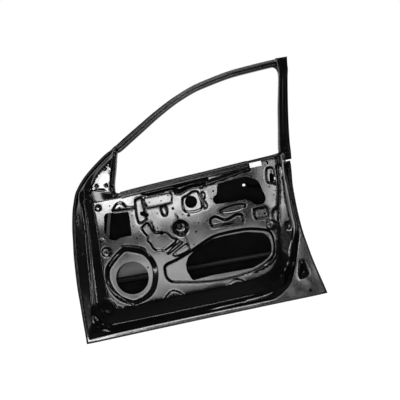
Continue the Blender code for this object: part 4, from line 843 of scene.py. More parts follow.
def make_piece(name: str, corners: np.ndarray, faces: list[tuple[int, ...]], finish: bpy.types.Material,
               normals: np.ndarray | None = None, crease: float = CREASE_ANGLE) -> bpy.types.Object:
    """Make a piece at the origin.

    Args:
        name: The piece's name.
        corners: Its corners in the shared frame.
        faces: Its faces.
        finish: Its material.
        normals: The normal of each face's corner, where the shape's own rule gives them.
        crease: The angle past which an edge stays sharp, where no normals are given.

    Returns:
        The piece.
    """
    mesh = bpy.data.meshes.new(name)
    mesh.from_pydata(corners.tolist(), [], faces)
    mesh.update()
    mesh.shade_smooth()
    if normals is None:
        mesh.set_sharp_from_angle(angle=math.radians(crease))
    else:
        mesh.normals_split_custom_set(normals.tolist())
    mesh.materials.append(finish)
    piece = bpy.data.objects.new(name, mesh)
    bpy.context.scene.collection.objects.link(piece)
    return piece


def fit(piece: bpy.types.Object, slot: str, *nodes: str) -> None:
    """Hand a finished piece to the frame.

    Args:
        piece: The piece.
        slot: The name of a record's slot; not used.
        nodes: The nodes that it stands for.
    """
    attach(piece, "root")
    if nodes:
        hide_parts(*nodes)
    LOG.info("fitted %s", piece.name)


@dataclass
class Perimeter:
    """The steps round the inner panel, from the flange's edge to the flat.

    Attributes:
        steps: Steps from each row to the next.
        lines: Seven closed lines, outermost first.
        depths: How deep each place of a line lies.
    """

    steps: int = 6
    lines: np.ndarray = field(init=False)
    depths: np.ndarray = field(init=False)

    def __post_init__(self) -> None:
        """Run smooth lines through the rows."""
        rows = np.array([metres(places) for _, places in PERIMETER])
        grips = np.ones(rows.shape[:2])
        levels = np.array([SECTION_LEVELS[section] for section, _ in PERIMETER])
        for index, (section, _) in enumerate(PERIMETER):
            if section in SHARP_SECTIONS:
                grips[index, :2] = 0
            if section == "apex":
                x, z = rows[index, :2].T
                seat = max(rise for _, rise in HEADER_SECTION) * FRAME_DEPTH
                levels[index, :2] = 1 - (seat + FRAME_SHEET + CLEARANCE + PANEL_SHEET) / barrel(x, z)
        lines = smooth_rows(rows, grips, self.steps, True)
        fine = smooth_rows(levels[:, :, None], np.zeros(levels.shape), self.steps, True)[:, :, 0]
        x, z = lines[:, :, 0], lines[:, :, 1]
        self.lines = lines.transpose(1, 0, 2)
        self.depths = np.column_stack([fine * barrel(x[:, :6], z[:, :6]), trim_plane(x[:, 6], z[:, 6])]).T

    def lay(self, relief: Relief) -> None:
        """Give a relief the perimeter's steps and the flat inside them.

        Args:
            relief: The relief, whose depth is laid anew.
        """
        count = self.lines.shape[1]
        corners = [Vector((x, 0, z)) for line in self.lines for x, z in line]
        raised = [Vector((x, depth, z)) for line, deep in zip(self.lines, self.depths)
                  for (x, z), depth in zip(line, deep)]
        faces = []
        for line in range(len(self.lines) - 1):
            for here in range(count):
                a, b = line * count + here, line * count + (here + 1) % count
                faces += [(a, a + count, b + count), (a, b + count, b)]
        tree = BVHTree.FromPolygons(corners, faces, epsilon=0)
        relief.depth = trim_plane(relief.x, relief.z)
        near = inside_of(relief.x, relief.z, offset_outline(self.lines[0], EDGE_MARGIN))
        near &= ~inside_of(relief.x, relief.z, self.lines[-1])
        for row, column in np.argwhere(near):
            spot, _, face, _ = tree.find_nearest(Vector((relief.x[row, column], 0, relief.z[row, column])))
            picks = faces[face]
            relief.depth[row, column] = barycentric_transform(
                spot, *(corners[pick] for pick in picks), *(raised[pick] for pick in picks)).y


@dataclass
class InnerPanel:
    """The deep-drawn inner panel with its seats, ribs and openings.

    Attributes:
        thickness: The sheet's own.
        crease_reach: How far each pressed crease is rounded.
        opening_corner: How far an opening's corner is rounded.
        wall: The width of a small round pressing's wall.
        pad_wall: The width of a hinge pad's edge.
        perimeter: The steps round it.
    """

    thickness: float = PANEL_SHEET
    crease_reach: float = 0.0017
    opening_corner: float = 0.007
    wall: float = 0.004
    pad_wall: float = 0.006
    perimeter: Perimeter = field(default_factory=Perimeter)

    def openings(self) -> list[np.ndarray]:
        """The edges of every opening and hole.

        Returns:
            One closed outline for each.
        """
        holes = [round_corners(metres(places), self.opening_corner) for places in OPENINGS.values()]
        holes += [ring(*place, corners) for place, corners in WIDE_HOLES]
        for radius, places in ROUND_HOLES.values():
            holes += [ring(*places[first:first + 2], radius, 14) for first in range(0, len(places), 2)]
        return holes

    def shape(self) -> tuple[Relief, list[np.ndarray]]:
        """Press everything in.

        Returns:
            The relief, and the lines that the mesh is finer along.
        """
        relief = Relief()
        self.perimeter.lay(relief)
        creases = list(self.perimeter.lines[1:])
        for pad in HINGE_PADS:
            relief.flatten(pad, self.pad_wall)
        for depth, wall, places in PRESSINGS.values():
            outline = smooth_outline(metres(places), 4)
            relief.press(outline, depth, wall)
            creases += [outline, offset_outline(outline, -wall)]
        for depth, radius, centre in ROUND_PRESSINGS.values():
            outline = ring(*centre, radius, 32)
            relief.press(outline, depth, self.wall)
            creases += [outline, offset_outline(outline, -self.wall)]
        for places in SAIL_FOLDS:
            path = metres(places)
            creases.append(np.vstack([path, path[::-1]]))
        relief.soften(self.crease_reach)
        for height, width, places in RIBS.values():
            path = smooth_outline(metres(places), 4, False)
            relief.rib(path, height, width)
            creases.append(np.vstack([path, path[::-1]]))
        return relief, creases

    def build(self, finish: bpy.types.Material) -> None:
        """Make the panel and hand it to the frame.

        Args:
            finish: Its material.
        """
        relief, creases = self.shape()
        border = self.perimeter.lines[0]
        sheet = PressedSheet(relief, border, self.openings(), creases, self.thickness)
        corners, faces, normals = sheet.build("inner panel")
        fit(make_piece("dressed_inner_panel", corners, faces, finish, normals), "black_primer", "inner_panel")


@dataclass
class OuterSkin:
    """The outer skin, hemmed round the panel's flange.

    Attributes:
        perimeter: The steps round the inner panel.
        thickness: The sheet's own.
        hem_lap: How far the hem reaches over the flange.
        first_row: The perimeter row where the hem starts.
        last_row: The perimeter row where it ends.
        crease_depth: How far the side's crease stands out.
        crease_wall: How wide the crease's slope is.
        bowl_depth: How deep the handle's bowl is.
        bowl_wall: The width of the bowl's wall.
        slot_corner: How far a handle slot's corner is rounded.
        mirror_corner: How far the mirror opening's corner is rounded.
        grid: The relief's spacing.
        crease_reach: How far the side's crease is rounded.
        bowl_reach: How far the bowl's rim is rounded.
        pitch: Spacing of the mesh on the flats.
        fillet: How far the rows beside a crease lie from it.
    """

    perimeter: Perimeter
    thickness: float = SKIN_SHEET
    hem_lap: float = 0.0075
    first_row: int = 34
    last_row: int = 17
    crease_depth: float = 0.004
    crease_wall: float = 0.087
    bowl_depth: float = 0.011
    bowl_wall: float = 0.010
    slot_corner: float = 0.004
    mirror_corner: float = 0.008
    grid: float = 0.0030
    crease_reach: float = 0.012
    bowl_reach: float = 0.0035
    pitch: float = 0.0120
    fillet: float = 0.003

    def hem_line(self) -> np.ndarray:
        """The flange's edge where the hem wraps it.

        Returns:
            Its places, from the pillar's top round to the lock edge.
        """
        steps = self.perimeter.steps
        edge = self.perimeter.lines[0]
        return np.vstack([edge[self.first_row * steps:], edge[:self.last_row * steps + 1]])

    def build(self, finish: bpy.types.Material, inside: bpy.types.Material, fold: bpy.types.Material) -> None:
        """Make the skin and its hem and hand them to the frame.

        Args:
            finish: The material of its outer side.
            inside: The material of the side toward the cavity, a darker, duller copy of the primer that
                paints the cavity's shade.
            fold: The material of its hem.
        """
        relief = Relief(pitch=self.grid)
        relief.depth = barrel(relief.x, relief.z) + PANEL_SHEET + CLEARANCE
        relief.press(metres(SKIN_CREASE), self.crease_depth, self.crease_wall)
        relief.soften(self.crease_reach)
        bowl = smooth_outline(metres(HANDLE_BOWL), 4)
        relief.press(bowl, -self.bowl_depth, self.bowl_wall)
        relief.soften(self.bowl_reach)
        hemmed = self.hem_line()
        top = metres(SKIN_TOP)
        border = np.vstack([offset_outline(np.vstack([hemmed, top]), CLEARANCE)[:len(hemmed)], top])
        holes = [round_corners(metres(places), self.slot_corner) for places in HANDLE_SLOTS]
        holes.append(round_corners(metres(SKIN_MIRROR), self.mirror_corner))
        creases = [bowl, offset_outline(bowl, -self.bowl_wall), offset_outline(border, -self.hem_lap)]
        sheet = PressedSheet(relief, border, holes, creases, self.thickness, self.pitch, self.fillet)
        corners, faces, normals = sheet.build("outer skin")
        piece = make_piece("dressed_outer_skin", corners, faces, finish, normals)
        piece.data.materials.append(inside)
        sheets = sum(len(face) == 3 for face in faces) // 2
        piece.data.polygons.foreach_set("material_index", [1] * sheets + [0] * (len(faces) - sheets))
        fit(piece, "black_primer", "outer_skin")
        hem = make_piece("dressed_hem", *self.hem(border[:len(hemmed)]), fold, crease=50.0)
        fit(hem, "black_primer", "outer_skin")

    def hem(self, border: np.ndarray) -> tuple[np.ndarray, list[tuple[int, ...]]]:
        """Fold the skin's edge over the flange.

        Args:
            border: The skin's hemmed edge.

        Returns:
            The hem's corners and faces.
        """
        fold = PANEL_SHEET / 2 + CLEARANCE
        outer = fold + self.thickness
        profile = [(outer * math.cos(angle), outer * math.sin(angle) - fold)
                   for angle in np.linspace(math.pi / 2, -math.pi / 2, 7)]
        profile += [(-self.hem_lap, -fold - outer), (-self.hem_lap, -2 * fold)]
        profile += [(fold * math.cos(angle), fold * math.sin(angle) - fold)
                    for angle in np.linspace(-math.pi / 2, math.pi / 2, 5)]
        ahead = np.gradient(border, axis=0)
        ahead /= np.linalg.norm(ahead, axis=1, keepdims=True)
        outward = np.column_stack([ahead[:, 1], -ahead[:, 0]])
        rows = []
        for across, rise in profile:
            x, z = (border + outward * across).T
            rows.append(in_frame(x, barrel(x, z) + PANEL_SHEET + CLEARANCE + rise, z))
        corners = np.stack(rows, axis=1)
        return corners.reshape(-1, 3), tube_faces(len(border), len(profile))


def tube_faces(rows: int, width: int) -> list[tuple[int, ...]]:
    """Faces of a closed tube with capped ends.

    Args:
        rows: Number of rings along it.
        width: Number of corners round it.

    Returns:
        Its faces.
    """
    faces: list[tuple[int, ...]] = []
    for row in range(rows - 1):
        for column in range(width):
            first, second = row * width + column, row * width + (column + 1) % width
            faces.append((first, second, second + width, first + width))
    faces.append(tuple(range(width - 1, -1, -1)))
    faces.append(tuple(range((rows - 1) * width, rows * width)))
    return faces


@dataclass
class RolledStrip:
    """A strip whose rolled or pressed section follows a line of the window frame.

    Attributes:
        section: Shares across the strip and of the frame's depth.
        line: Rows of the line's own measures, in thousandths.
        side: Which way the thickness grows.
        bend: How far each corner of the section is rounded.
        thickness: The sheet's own.
    """

    section: Sequence[tuple[float, float]]
    line: Sequence[tuple[float, float, float]]
    side: Side
    bend: float = 0.0016
    thickness: float = FRAME_SHEET

    def lines(self) -> tuple[np.ndarray, np.ndarray]:
        """The strip's two edges.

        Returns:
            The front and rear edge, or the top and bottom one.
        """
        rows = smooth_outline(np.array(self.line, float) * DOOR_SIZE / 1000, 4, False)
        height, front, rear = rows.T
        return np.column_stack([front, height]), np.column_stack([rear, height])

    def corners(self) -> np.ndarray:
        """The rounded section at each place along the strip.

        Returns:
            Rows along the strip of corners across it, in the shared frame.
        """
        first, second = self.lines()
        rows = []
        for across, rise in self.section:
            x, z = (first + (second - first) * across).T
            rows.append(in_frame(x, barrel(x, z) - rise * FRAME_DEPTH, z))
        sharp = np.stack(rows, axis=1)
        behind, here, ahead = sharp[:, :-2], sharp[:, 1:-1], sharp[:, 2:]
        back, forth = behind - here, ahead - here
        reach_back = np.linalg.norm(back, axis=2, keepdims=True)
        reach_forth = np.linalg.norm(forth, axis=2, keepdims=True)
        cut = np.minimum(self.bend, np.minimum(reach_back, reach_forth) * 0.45)
        start, end = here + back / reach_back * cut, here + forth / reach_forth * cut
        bends = [start * (1 - share) ** 2 + here * 2 * share * (1 - share) + end * share ** 2
                 for share in (0.0, 0.33, 0.67, 1.0)]
        rounded = np.stack(bends, axis=2).reshape(len(sharp), -1, 3)
        return np.concatenate([sharp[:, :1], rounded, sharp[:, -1:]], axis=1)

    def build(self, name: str, node: str, finish: bpy.types.Material) -> np.ndarray:
        """Make the strip and hand it to the frame.

        Args:
            name: The piece's name.
            node: The node that it stands for.
            finish: Its material.

        Returns:
            The section's corners along the strip.
        """
        corners = self.corners()
        rows, width = corners.shape[:2]
        faces = [(row * width + column, row * width + column + 1,
                  (row + 1) * width + column + 1, (row + 1) * width + column)
                 for row in range(rows - 1) for column in range(width - 1)]
        piece = make_piece(name, corners.reshape(-1, 3), faces, finish)
        sheet = piece.modifiers.new("sheet", "SOLIDIFY")
        sheet.thickness = self.thickness
        sheet.offset = self.side.value
        sheet.use_even_offset = True
        sheet.use_quality_normals = True
        fit(piece, "black_primer", node)
        return corners


@dataclass
class HeaderFrame(RolledStrip):
    """The rolled header over the window, drawn by its top line and its width."""

    def lines(self) -> tuple[np.ndarray, np.ndarray]:
        """The header's two edges.

        Returns:
            Its top edge and its edge at the window.
        """
        rows = smooth_outline(np.array(self.line, float) * DOOR_SIZE / 1000, 6, False)
        top, width = rows[:, :2], rows[:, 2:]
        along = np.gradient(top, axis=0)
        along /= np.linalg.norm(along, axis=1, keepdims=True)
        return top, top + np.column_stack([along[:, 1], -along[:, 0]]) * width


@dataclass
class CornerGusset:
    """The small plate that rounds the window's top rear corner, welded behind header and sash.

    Attributes:
        corner: Where the header's and the sash's inner edges meet, in thousandths.
        reach: How far it runs along each of them.
        lap: How far it lies behind each of them.
        rise: Its share of the frame's depth.
        thickness: The sheet's own.
    """

    corner: tuple[float, float] = (988.0, 948.0)
    reach: float = 0.026
    lap: float = 0.004
    rise: float = 0.60
    thickness: float = FRAME_SHEET

    def outline(self) -> np.ndarray:
        """Its edge, the side toward the glass a quarter round.

        Returns:
            The edge's corners in metres.
        """
        corner = metres(self.corner)[0]
        centre = corner - self.reach
        angles = np.linspace(0.0, math.pi / 2, 12)
        arc = centre + self.reach * np.column_stack([np.cos(angles), np.sin(angles)])
        back = corner + np.array([(-self.reach, self.lap), (self.lap, self.lap), (self.lap, -self.reach)])
        return np.vstack([arc, back])

    def build(self, finish: bpy.types.Material) -> None:
        """Make the plate and hand it to the frame.

        Args:
            finish: Its material.
        """
        outline = self.outline()
        depth = barrel(outline[:, 0], outline[:, 1]) - self.rise * FRAME_DEPTH
        near = in_frame(outline[:, 0], depth, outline[:, 1])
        far = in_frame(outline[:, 0], depth + self.thickness, outline[:, 1])
        count = len(outline)
        faces = [tuple(range(count)), tuple(range(2 * count - 1, count - 1, -1))]
        faces += [(here, here + count, (here + 1) % count + count, (here + 1) % count)
                  for here in range(count)]
        fit(make_piece("corner_gusset", np.vstack([near, far]), faces, finish), "black_primer")


@dataclass
class BeltRail:
    """The corrugated rail along the belt, swept along its line by geometry nodes.

    Attributes:
        height: From its top edge to its foot.
        depth: How far its ridges stand toward the passenger.
        thickness: The sheet's own.
        line: Its top edge, in thousandths.
    """

    height: float = RAIL_HEIGHT
    depth: float = RAIL_DEPTH
    thickness: float = FRAME_SHEET
    line: Sequence[float] = RAIL_LINE

    def profile(self) -> np.ndarray:
        """The rail's closed section.

        Returns:
            Its corners, toward the passenger and then up.
        """
        ridge = np.array([(CLEARANCE + rise * self.depth, -drop * self.height)
                          for drop, rise in RAIL_SECTION])
        fine = smooth_outline(ridge, 4, False)
        ahead = np.gradient(fine, axis=0)
        ahead /= np.linalg.norm(ahead, axis=1, keepdims=True)
        skin = fine + np.column_stack([-ahead[:, 1], ahead[:, 0]]) * self.thickness
        return np.vstack([fine, skin[::-1]])

    def build(self, finish: bpy.types.Material) -> None:
        """Sweep the section along the line and hand the rail to the frame.

        Args:
            finish: Its material.
        """
        top = smooth_outline(metres(self.line), 6, False)
        path = in_frame(top[:, 0], np.zeros(len(top)), top[:, 1])
        rail = sweep("dressed_belt_rail", path, self.profile(), finish)
        fit(rail, "black_primer", "belt_rail_inner")


def curve_object(name: str, places: Iterable[Sequence[float]], closed: bool) -> bpy.types.Object:
    """Make a curve of straight steps.

    Args:
        name: The curve's name.
        places: Its places.
        closed: Whether it runs back to its start.

    Returns:
        The curve.
    """
    curve = bpy.data.curves.new(name, "CURVE")
    curve.dimensions = "3D"
    spots = [tuple(map(float, place)) for place in places]
    spline = curve.splines.new("POLY")
    spline.points.add(len(spots) - 1)
    for knot, spot in zip(spline.points, spots):
        knot.co = (*spot, 1.0)
    spline.use_cyclic_u = closed
    piece = bpy.data.objects.new(name, curve)
    bpy.context.scene.collection.objects.link(piece)
    return piece


class Graph:
    """Nodes under construction, of a material, a world, a group or a shape."""

    def __init__(self, tree: bpy.types.NodeTree) -> None:
        """Take the tree to build in.

        Args:
            tree: The tree.
        """
        self.tree = tree

    def feed(self, node: bpy.types.Node, values: dict[str | int, object]) -> None:
        """Give a node's inputs their values.

        Args:
            node: The node.
            values: For each input, by name or place, a plain value or the socket that feeds it.
        """
        for name, value in values.items():
            if isinstance(value, bpy.types.NodeSocket):
                self.tree.links.new(value, node.inputs[name])
            else:
                node.inputs[name].default_value = value

    def add(self, kind: str, values: dict[str | int, object] | None = None,
            **settings: object) -> bpy.types.Node:
        """Add a node.

        Args:
            kind: The node's type.
            values: What its inputs take, as in feed.
            settings: A value for each of its properties that is set.

        Returns:
            The node.
        """
        node = self.tree.nodes.new(kind)
        for name, value in settings.items():
            setattr(node, name, value)
        self.feed(node, values or {})
        return node

    def effect(self, group: bpy.types.NodeTree, place: bpy.types.NodeSocket, scale: float,
               span: tuple[float, float]) -> bpy.types.NodeSocket:
        """Place a shared effect.

        Args:
            group: The effect's group.
            place: The place it is read at.
            scale: How fine it is.
            span: The random values that become none and full.

        Returns:
            The effect's output.
        """
        values = {"Place": place, "Scale": scale, "Low": span[0], "High": span[1]}
        return self.add("ShaderNodeGroup", values, node_tree=group).outputs[0]

    def fade(self, place: bpy.types.NodeSocket, axis: str, start: float, full: float,
             low: float = 0.0, high: float = 1.0) -> bpy.types.NodeSocket:
        """A value that rises smoothly along an axis.

        Args:
            place: The place it is read at.
            axis: The axis.
            start: Where it starts to rise.
            full: Where it is full.
            low: Its value at the start.
            high: Its full value.

        Returns:
            The value's socket.
        """
        split = self.add("ShaderNodeSeparateXYZ", {"Vector": place})
        values = {"Value": split.outputs[axis], "From Min": start, "From Max": full,
                  "To Min": low, "To Max": high}
        return self.add("ShaderNodeMapRange", values, interpolation_type="SMOOTHSTEP").outputs["Result"]

    def choose(self, mask: bpy.types.NodeSocket, low: object, high: object) -> bpy.types.NodeSocket:
        """Choose between two values by a mask.

        Args:
            mask: The mask.
            low: The value or socket where the mask is none.
            high: The value or socket where the mask is full.

        Returns:
            The chosen value's socket.
        """
        return self.add("ShaderNodeMix", {0: mask, 2: low, 3: high}).outputs[0]


class ShapeTree(Graph):
    """A geometry node tree with named inputs for its sizes."""

    def __init__(self, name: str) -> None:
        """Start the tree.

        Args:
            name: The tree's name.
        """
        super().__init__(bpy.data.node_groups.new(name, "GeometryNodeTree"))
        for way in ("INPUT", "OUTPUT"):
            self.tree.interface.new_socket("Geometry", in_out=way, socket_type="NodeSocketGeometry")
        self.entry = self.add("NodeGroupInput")
        self.exit = self.add("NodeGroupOutput")
        self.inputs: dict[str, str] = {}

    def ask(self, name: str, kind: str) -> bpy.types.NodeSocket:
        """Add a named input.

        Args:
            name: The input's name.
            kind: Its socket's type.

        Returns:
            Its socket inside the tree.
        """
        socket = self.tree.interface.new_socket(name, in_out="INPUT", socket_type=kind)
        self.inputs[name] = socket.identifier
        return next(end for end in self.entry.outputs if end.identifier == socket.identifier)

    def finish(self, shape: bpy.types.NodeSocket, material: bpy.types.NodeSocket) -> None:
        """End the tree in real geometry with its material.

        Args:
            shape: The socket that gives the shape.
            material: The socket that gives the material.
        """
        real = self.add("GeometryNodeRealizeInstances", {"Geometry": shape})
        paint = self.add("GeometryNodeSetMaterial", {"Geometry": real.outputs["Geometry"],
                                                     "Material": material})
        self.feed(self.exit, {0: paint.outputs["Geometry"]})

    def bake(self, name: str, carrier: bpy.types.Object, values: dict[str, object]) -> bpy.types.Object:
        """Run the tree on a carrier and keep the result as a plain mesh.

        Args:
            name: The finished piece's name.
            carrier: The object that the tree works on.
            values: A value for each named input.

        Returns:
            The piece.
        """
        maker = carrier.modifiers.new("maker", "NODES")
        maker.node_group = self.tree
        for label, value in values.items():
            maker[self.inputs[label]] = value
        seen = carrier.evaluated_get(bpy.context.evaluated_depsgraph_get())
        mesh = bpy.data.meshes.new_from_object(seen)
        carrier.modifiers.clear()
        bpy.data.objects.remove(carrier)
        mesh.name = name
        piece = bpy.data.objects.new(name, mesh)
        bpy.context.scene.collection.objects.link(piece)
        return piece


def sweep(name: str, path: np.ndarray, section: np.ndarray, finish: bpy.types.Material) -> bpy.types.Object:
    """Repeat a closed section along a path and close it into a solid.

    Args:
        name: The finished piece's name.
        path: The places that the section follows.
        section: The section's corners from the path, toward the passenger and then up.
        finish: The material.

    Returns:
        The piece.
    """
    tree = ShapeTree("section_along_path")
    material = tree.ask("Material", "NodeSocketMaterial")
    shape = tree.add("GeometryNodeObjectInfo", {"Object": tree.ask("Section", "NodeSocketObject")})
    upright = tree.add("GeometryNodeSetCurveNormal", {"Curve": tree.entry.outputs["Geometry"]}, mode="Z_UP")
    pipe = tree.add("GeometryNodeCurveToMesh", {"Curve": upright.outputs["Curve"], "Fill Caps": True,
                                                "Profile Curve": shape.outputs["Geometry"]})
    tree.finish(pipe.outputs["Mesh"], material)
    profile = curve_object(f"{name}_section", [(out, -up, 0.0) for out, up in section], True)
    carrier = curve_object(f"{name}_path", path, False)
    piece = tree.bake(name, carrier, {"Material": finish, "Section": profile})
    bpy.data.objects.remove(profile)
    piece.data.shade_smooth()
    piece.data.set_sharp_from_angle(angle=math.radians(CREASE_ANGLE))
    return piece


@dataclass
class SpotWelds:
    """Electric spot welds along the joints, placed by geometry nodes.

    Attributes:
        pitch: From weld to weld.
        radius: The weld's own.
        height: How far its ring stands from the sheet.
        crown: The radius of its top as a share of its own.
        corners: Number of corners round it.
    """

    pitch: float = 0.048
    radius: float = 0.0030
    height: float = 0.0007
    crown: float = 0.55
    corners: int = 12

    def build(self, name: str, path: np.ndarray, finish: bpy.types.Material) -> None:
        """Place welds along a path and hand them to the frame.

        Args:
            name: The piece's name.
            path: Places along the joint, in the shared frame.
            finish: The material.
        """
        tree = ShapeTree("welds_along_joint")
        material = tree.ask("Material", "NodeSocketMaterial")
        pitch, radius, height = (tree.ask(size, "NodeSocketFloat") for size in ("Pitch", "Radius", "Height"))
        spaced = tree.add("GeometryNodeCurveToPoints", {"Curve": tree.entry.outputs["Geometry"],
                                                        "Length": pitch}, mode="LENGTH")
        crown = tree.add("ShaderNodeMath", {0: radius, 1: self.crown}, operation="MULTIPLY")
        weld = tree.add("GeometryNodeMeshCone", {"Vertices": self.corners, "Radius Top": crown.outputs[0],
                                                 "Radius Bottom": radius, "Depth": height})
        seated = tree.add("GeometryNodeInstanceOnPoints", {
            "Points": spaced.outputs["Points"], "Instance": weld.outputs["Mesh"],
            "Rotation": (math.pi / 2, 0.0, 0.0)})
        tree.finish(seated.outputs["Instances"], material)
        carrier = curve_object(f"{name}_joint", path, False)
        welds = tree.bake(name, carrier, {"Material": finish, "Pitch": self.pitch,
                                          "Radius": self.radius, "Height": self.height})
        welds.data.shade_smooth()
        fit(welds, "black_primer")


class Shades:
    """Shader effects that several finishes share, each built once as a node group."""

    def __init__(self) -> None:
        """Build the groups."""
        self.peel = self.noise_group("orange_peel", detail=2.0, output="Height")
        self.dust = self.noise_group("dust_film", detail=5.0, output="Mask")
        self.wave = self.noise_group("sheet_wave", detail=1.0, output="Height")

    @staticmethod
    def noise_group(name: str, detail: float, output: str) -> bpy.types.NodeTree:
        """A group that turns a place into a soft random value.

        Args:
            name: The group's name.
            detail: How fine its random steps go.
            output: The name of its output.

        Returns:
            The group.
        """
        tree = bpy.data.node_groups.new(name, "ShaderNodeTree")
        for label, kind in (("Place", "NodeSocketVector"), ("Scale", "NodeSocketFloat"),
                            ("Low", "NodeSocketFloat"), ("High", "NodeSocketFloat")):
            tree.interface.new_socket(label, in_out="INPUT", socket_type=kind)
        tree.interface.new_socket(output, in_out="OUTPUT", socket_type="NodeSocketFloat")
        graph = Graph(tree)
        entry = graph.add("NodeGroupInput").outputs
        noise = graph.add("ShaderNodeTexNoise", {"Vector": entry["Place"], "Scale": entry["Scale"],
                                                 "Detail": detail})
        span = graph.add("ShaderNodeMapRange", {"Value": noise.outputs["Fac"], "From Min": entry["Low"],
                                                "From Max": entry["High"]})
        graph.add("NodeGroupOutput", {output: span.outputs["Result"]})
        return tree


# How fine each effect is, and which random values become none and full.
DUST_PATCHES = (9.0, (0.42, 0.78))
RUBBED_PATCHES = (23.0, (0.30, 0.75))
WAVES = (7.0, (0.2, 0.8))
PEEL_GRAIN = (420.0, (0.2, 0.8))
PAPER_FIBRE = (260.0, (0.35, 0.9))


@dataclass(frozen=True)
class Primer:
    """A baked primer coat with orange peel, soft sheet waviness and a thin film of dust.

    Attributes:
        name: The material's name.
        gloss: Its least and greatest roughness.
        colour: The coat's own.
        dusty: Its colour under the dust.
        coat: The weight of its clear film.
        film: The film's roughness.
        peel: How deep the orange peel is.
        wave: How deep the sheet's waviness is.
        sheen: How strongly the bare coat mirrors, a half being a common paint.
        pool: Where the coat has run together into a clear film: axis, start and where it is full.
    """

    name: str
    gloss: tuple[float, float]
    colour: tuple[float, float, float, float] = (0.0014, 0.0014, 0.0016, 1.0)
    dusty: tuple[float, float, float, float] = (0.0036, 0.0038, 0.0042, 1.0)
    coat: float = 0.25
    film: float = 0.12
    peel: float = 0.000015
    wave: float = 0.0006
    sheen: float = 0.5
    pool: tuple[tuple[str, float, float], ...] = ()

    def build(self, shades: Shades) -> bpy.types.Material:
        """Make the material.

        Args:
            shades: The shared effects.

        Returns:
            The material.
        """
        material = bpy.data.materials.new(self.name)
        material.use_nodes = True
        graph = Graph(material.node_tree)
        place = graph.add("ShaderNodeTexCoord").outputs["Object"]
        dust = graph.effect(shades.dust, place, *DUST_PATCHES)
        tint = graph.add("ShaderNodeMix", data_type="RGBA")
        graph.feed(tint, {0: dust, 6: self.colour, 7: self.dusty})
        rubbed = graph.effect(shades.dust, place, *RUBBED_PATCHES)
        rough = graph.add("ShaderNodeMapRange", {"Value": rubbed, "To Min": self.gloss[0],
                                                 "To Max": self.gloss[1]})
        broad = graph.add("ShaderNodeBump", {"Distance": self.wave,
                                             "Height": graph.effect(shades.wave, place, *WAVES)})
        fine = graph.add("ShaderNodeBump", {"Distance": self.peel, "Normal": broad.outputs["Normal"],
                                            "Height": graph.effect(shades.peel, place, *PEEL_GRAIN)})
        graph.feed(material.node_tree.nodes["Principled BSDF"], {
            "Base Color": tint.outputs[2], "Roughness": rough.outputs["Result"],
            "Normal": fine.outputs["Normal"], "Specular IOR Level": self.sheen,
            "Coat Weight": self.pooled(graph, place) if self.pool else self.coat,
            "Coat Roughness": self.film})
        return material

    def pooled(self, graph: Graph, place: bpy.types.NodeSocket) -> bpy.types.NodeSocket:
        """Fade the clear film in where the coat has run together.

        Args:
            graph: The material's nodes.
            place: The place it is read at.

        Returns:
            The film's weight.
        """
        full = self.coat ** (1 / len(self.pool))
        film, *others = (graph.fade(place, axis, start, end, high=full) for axis, start, end in self.pool)
        for other in others:
            film = graph.add("ShaderNodeMath", {0: film, 1: other}, operation="MULTIPLY").outputs[0]
        return film


@dataclass(frozen=True)
class Paper:
    """Matt label paper with a faint fibre.

    Attributes:
        name: The material's name.
        colour: The paper's own.
        shaded: Its colour between the fibres.
        roughness: The paper's own.
        nap: How deep the fibres are.
    """

    name: str = "label_paper"
    colour: tuple[float, float, float, float] = (0.86, 0.86, 0.87, 1.0)
    shaded: tuple[float, float, float, float] = (0.74, 0.74, 0.76, 1.0)
    roughness: float = 0.62
    nap: float = 0.0001

    def build(self, shades: Shades) -> bpy.types.Material:
        """Make the material.

        Args:
            shades: The shared effects.

        Returns:
            The material.
        """
        material = bpy.data.materials.new(self.name)
        material.use_nodes = True
        graph = Graph(material.node_tree)
        place = graph.add("ShaderNodeTexCoord").outputs["Object"]
        fibre = graph.effect(shades.dust, place, *PAPER_FIBRE)
        tint = graph.add("ShaderNodeMix", data_type="RGBA")
        graph.feed(tint, {0: fibre, 6: self.colour, 7: self.shaded})
        bump = graph.add("ShaderNodeBump", {"Distance": self.nap, "Height": fibre})
        graph.feed(material.node_tree.nodes["Principled BSDF"], {
            "Base Color": tint.outputs[2], "Roughness": self.roughness, "Normal": bump.outputs["Normal"]})
        return material


@dataclass(frozen=True)
class SoftLamp:
    """A soft lamp that faces the door.

    Attributes:
        name: The lamp's name.
        place: Its centre.
        size: Its width and height.
        power: In watts.
    """

    name: str
    place: tuple[float, float, float]
    size: tuple[float, float]
    power: float

    def hang(self) -> None:
        """Put the lamp up, turned to the door's middle."""
        data = bpy.data.lights.new(self.name, "AREA")
        data.shape = "RECTANGLE"
        data.size, data.size_y = self.size
        data.energy = self.power
        lamp = bpy.data.objects.new(self.name, data)
        lamp.visible_camera = False
        lamp.location = self.place
        aim = Vector(DOOR_MIDDLE) - Vector(self.place)
        lamp.rotation_euler = aim.to_track_quat("-Z", "Z").to_euler()
        bpy.context.scene.collection.objects.link(lamp)


DOOR_MIDDLE = (0.53, 0.0, 0.25)

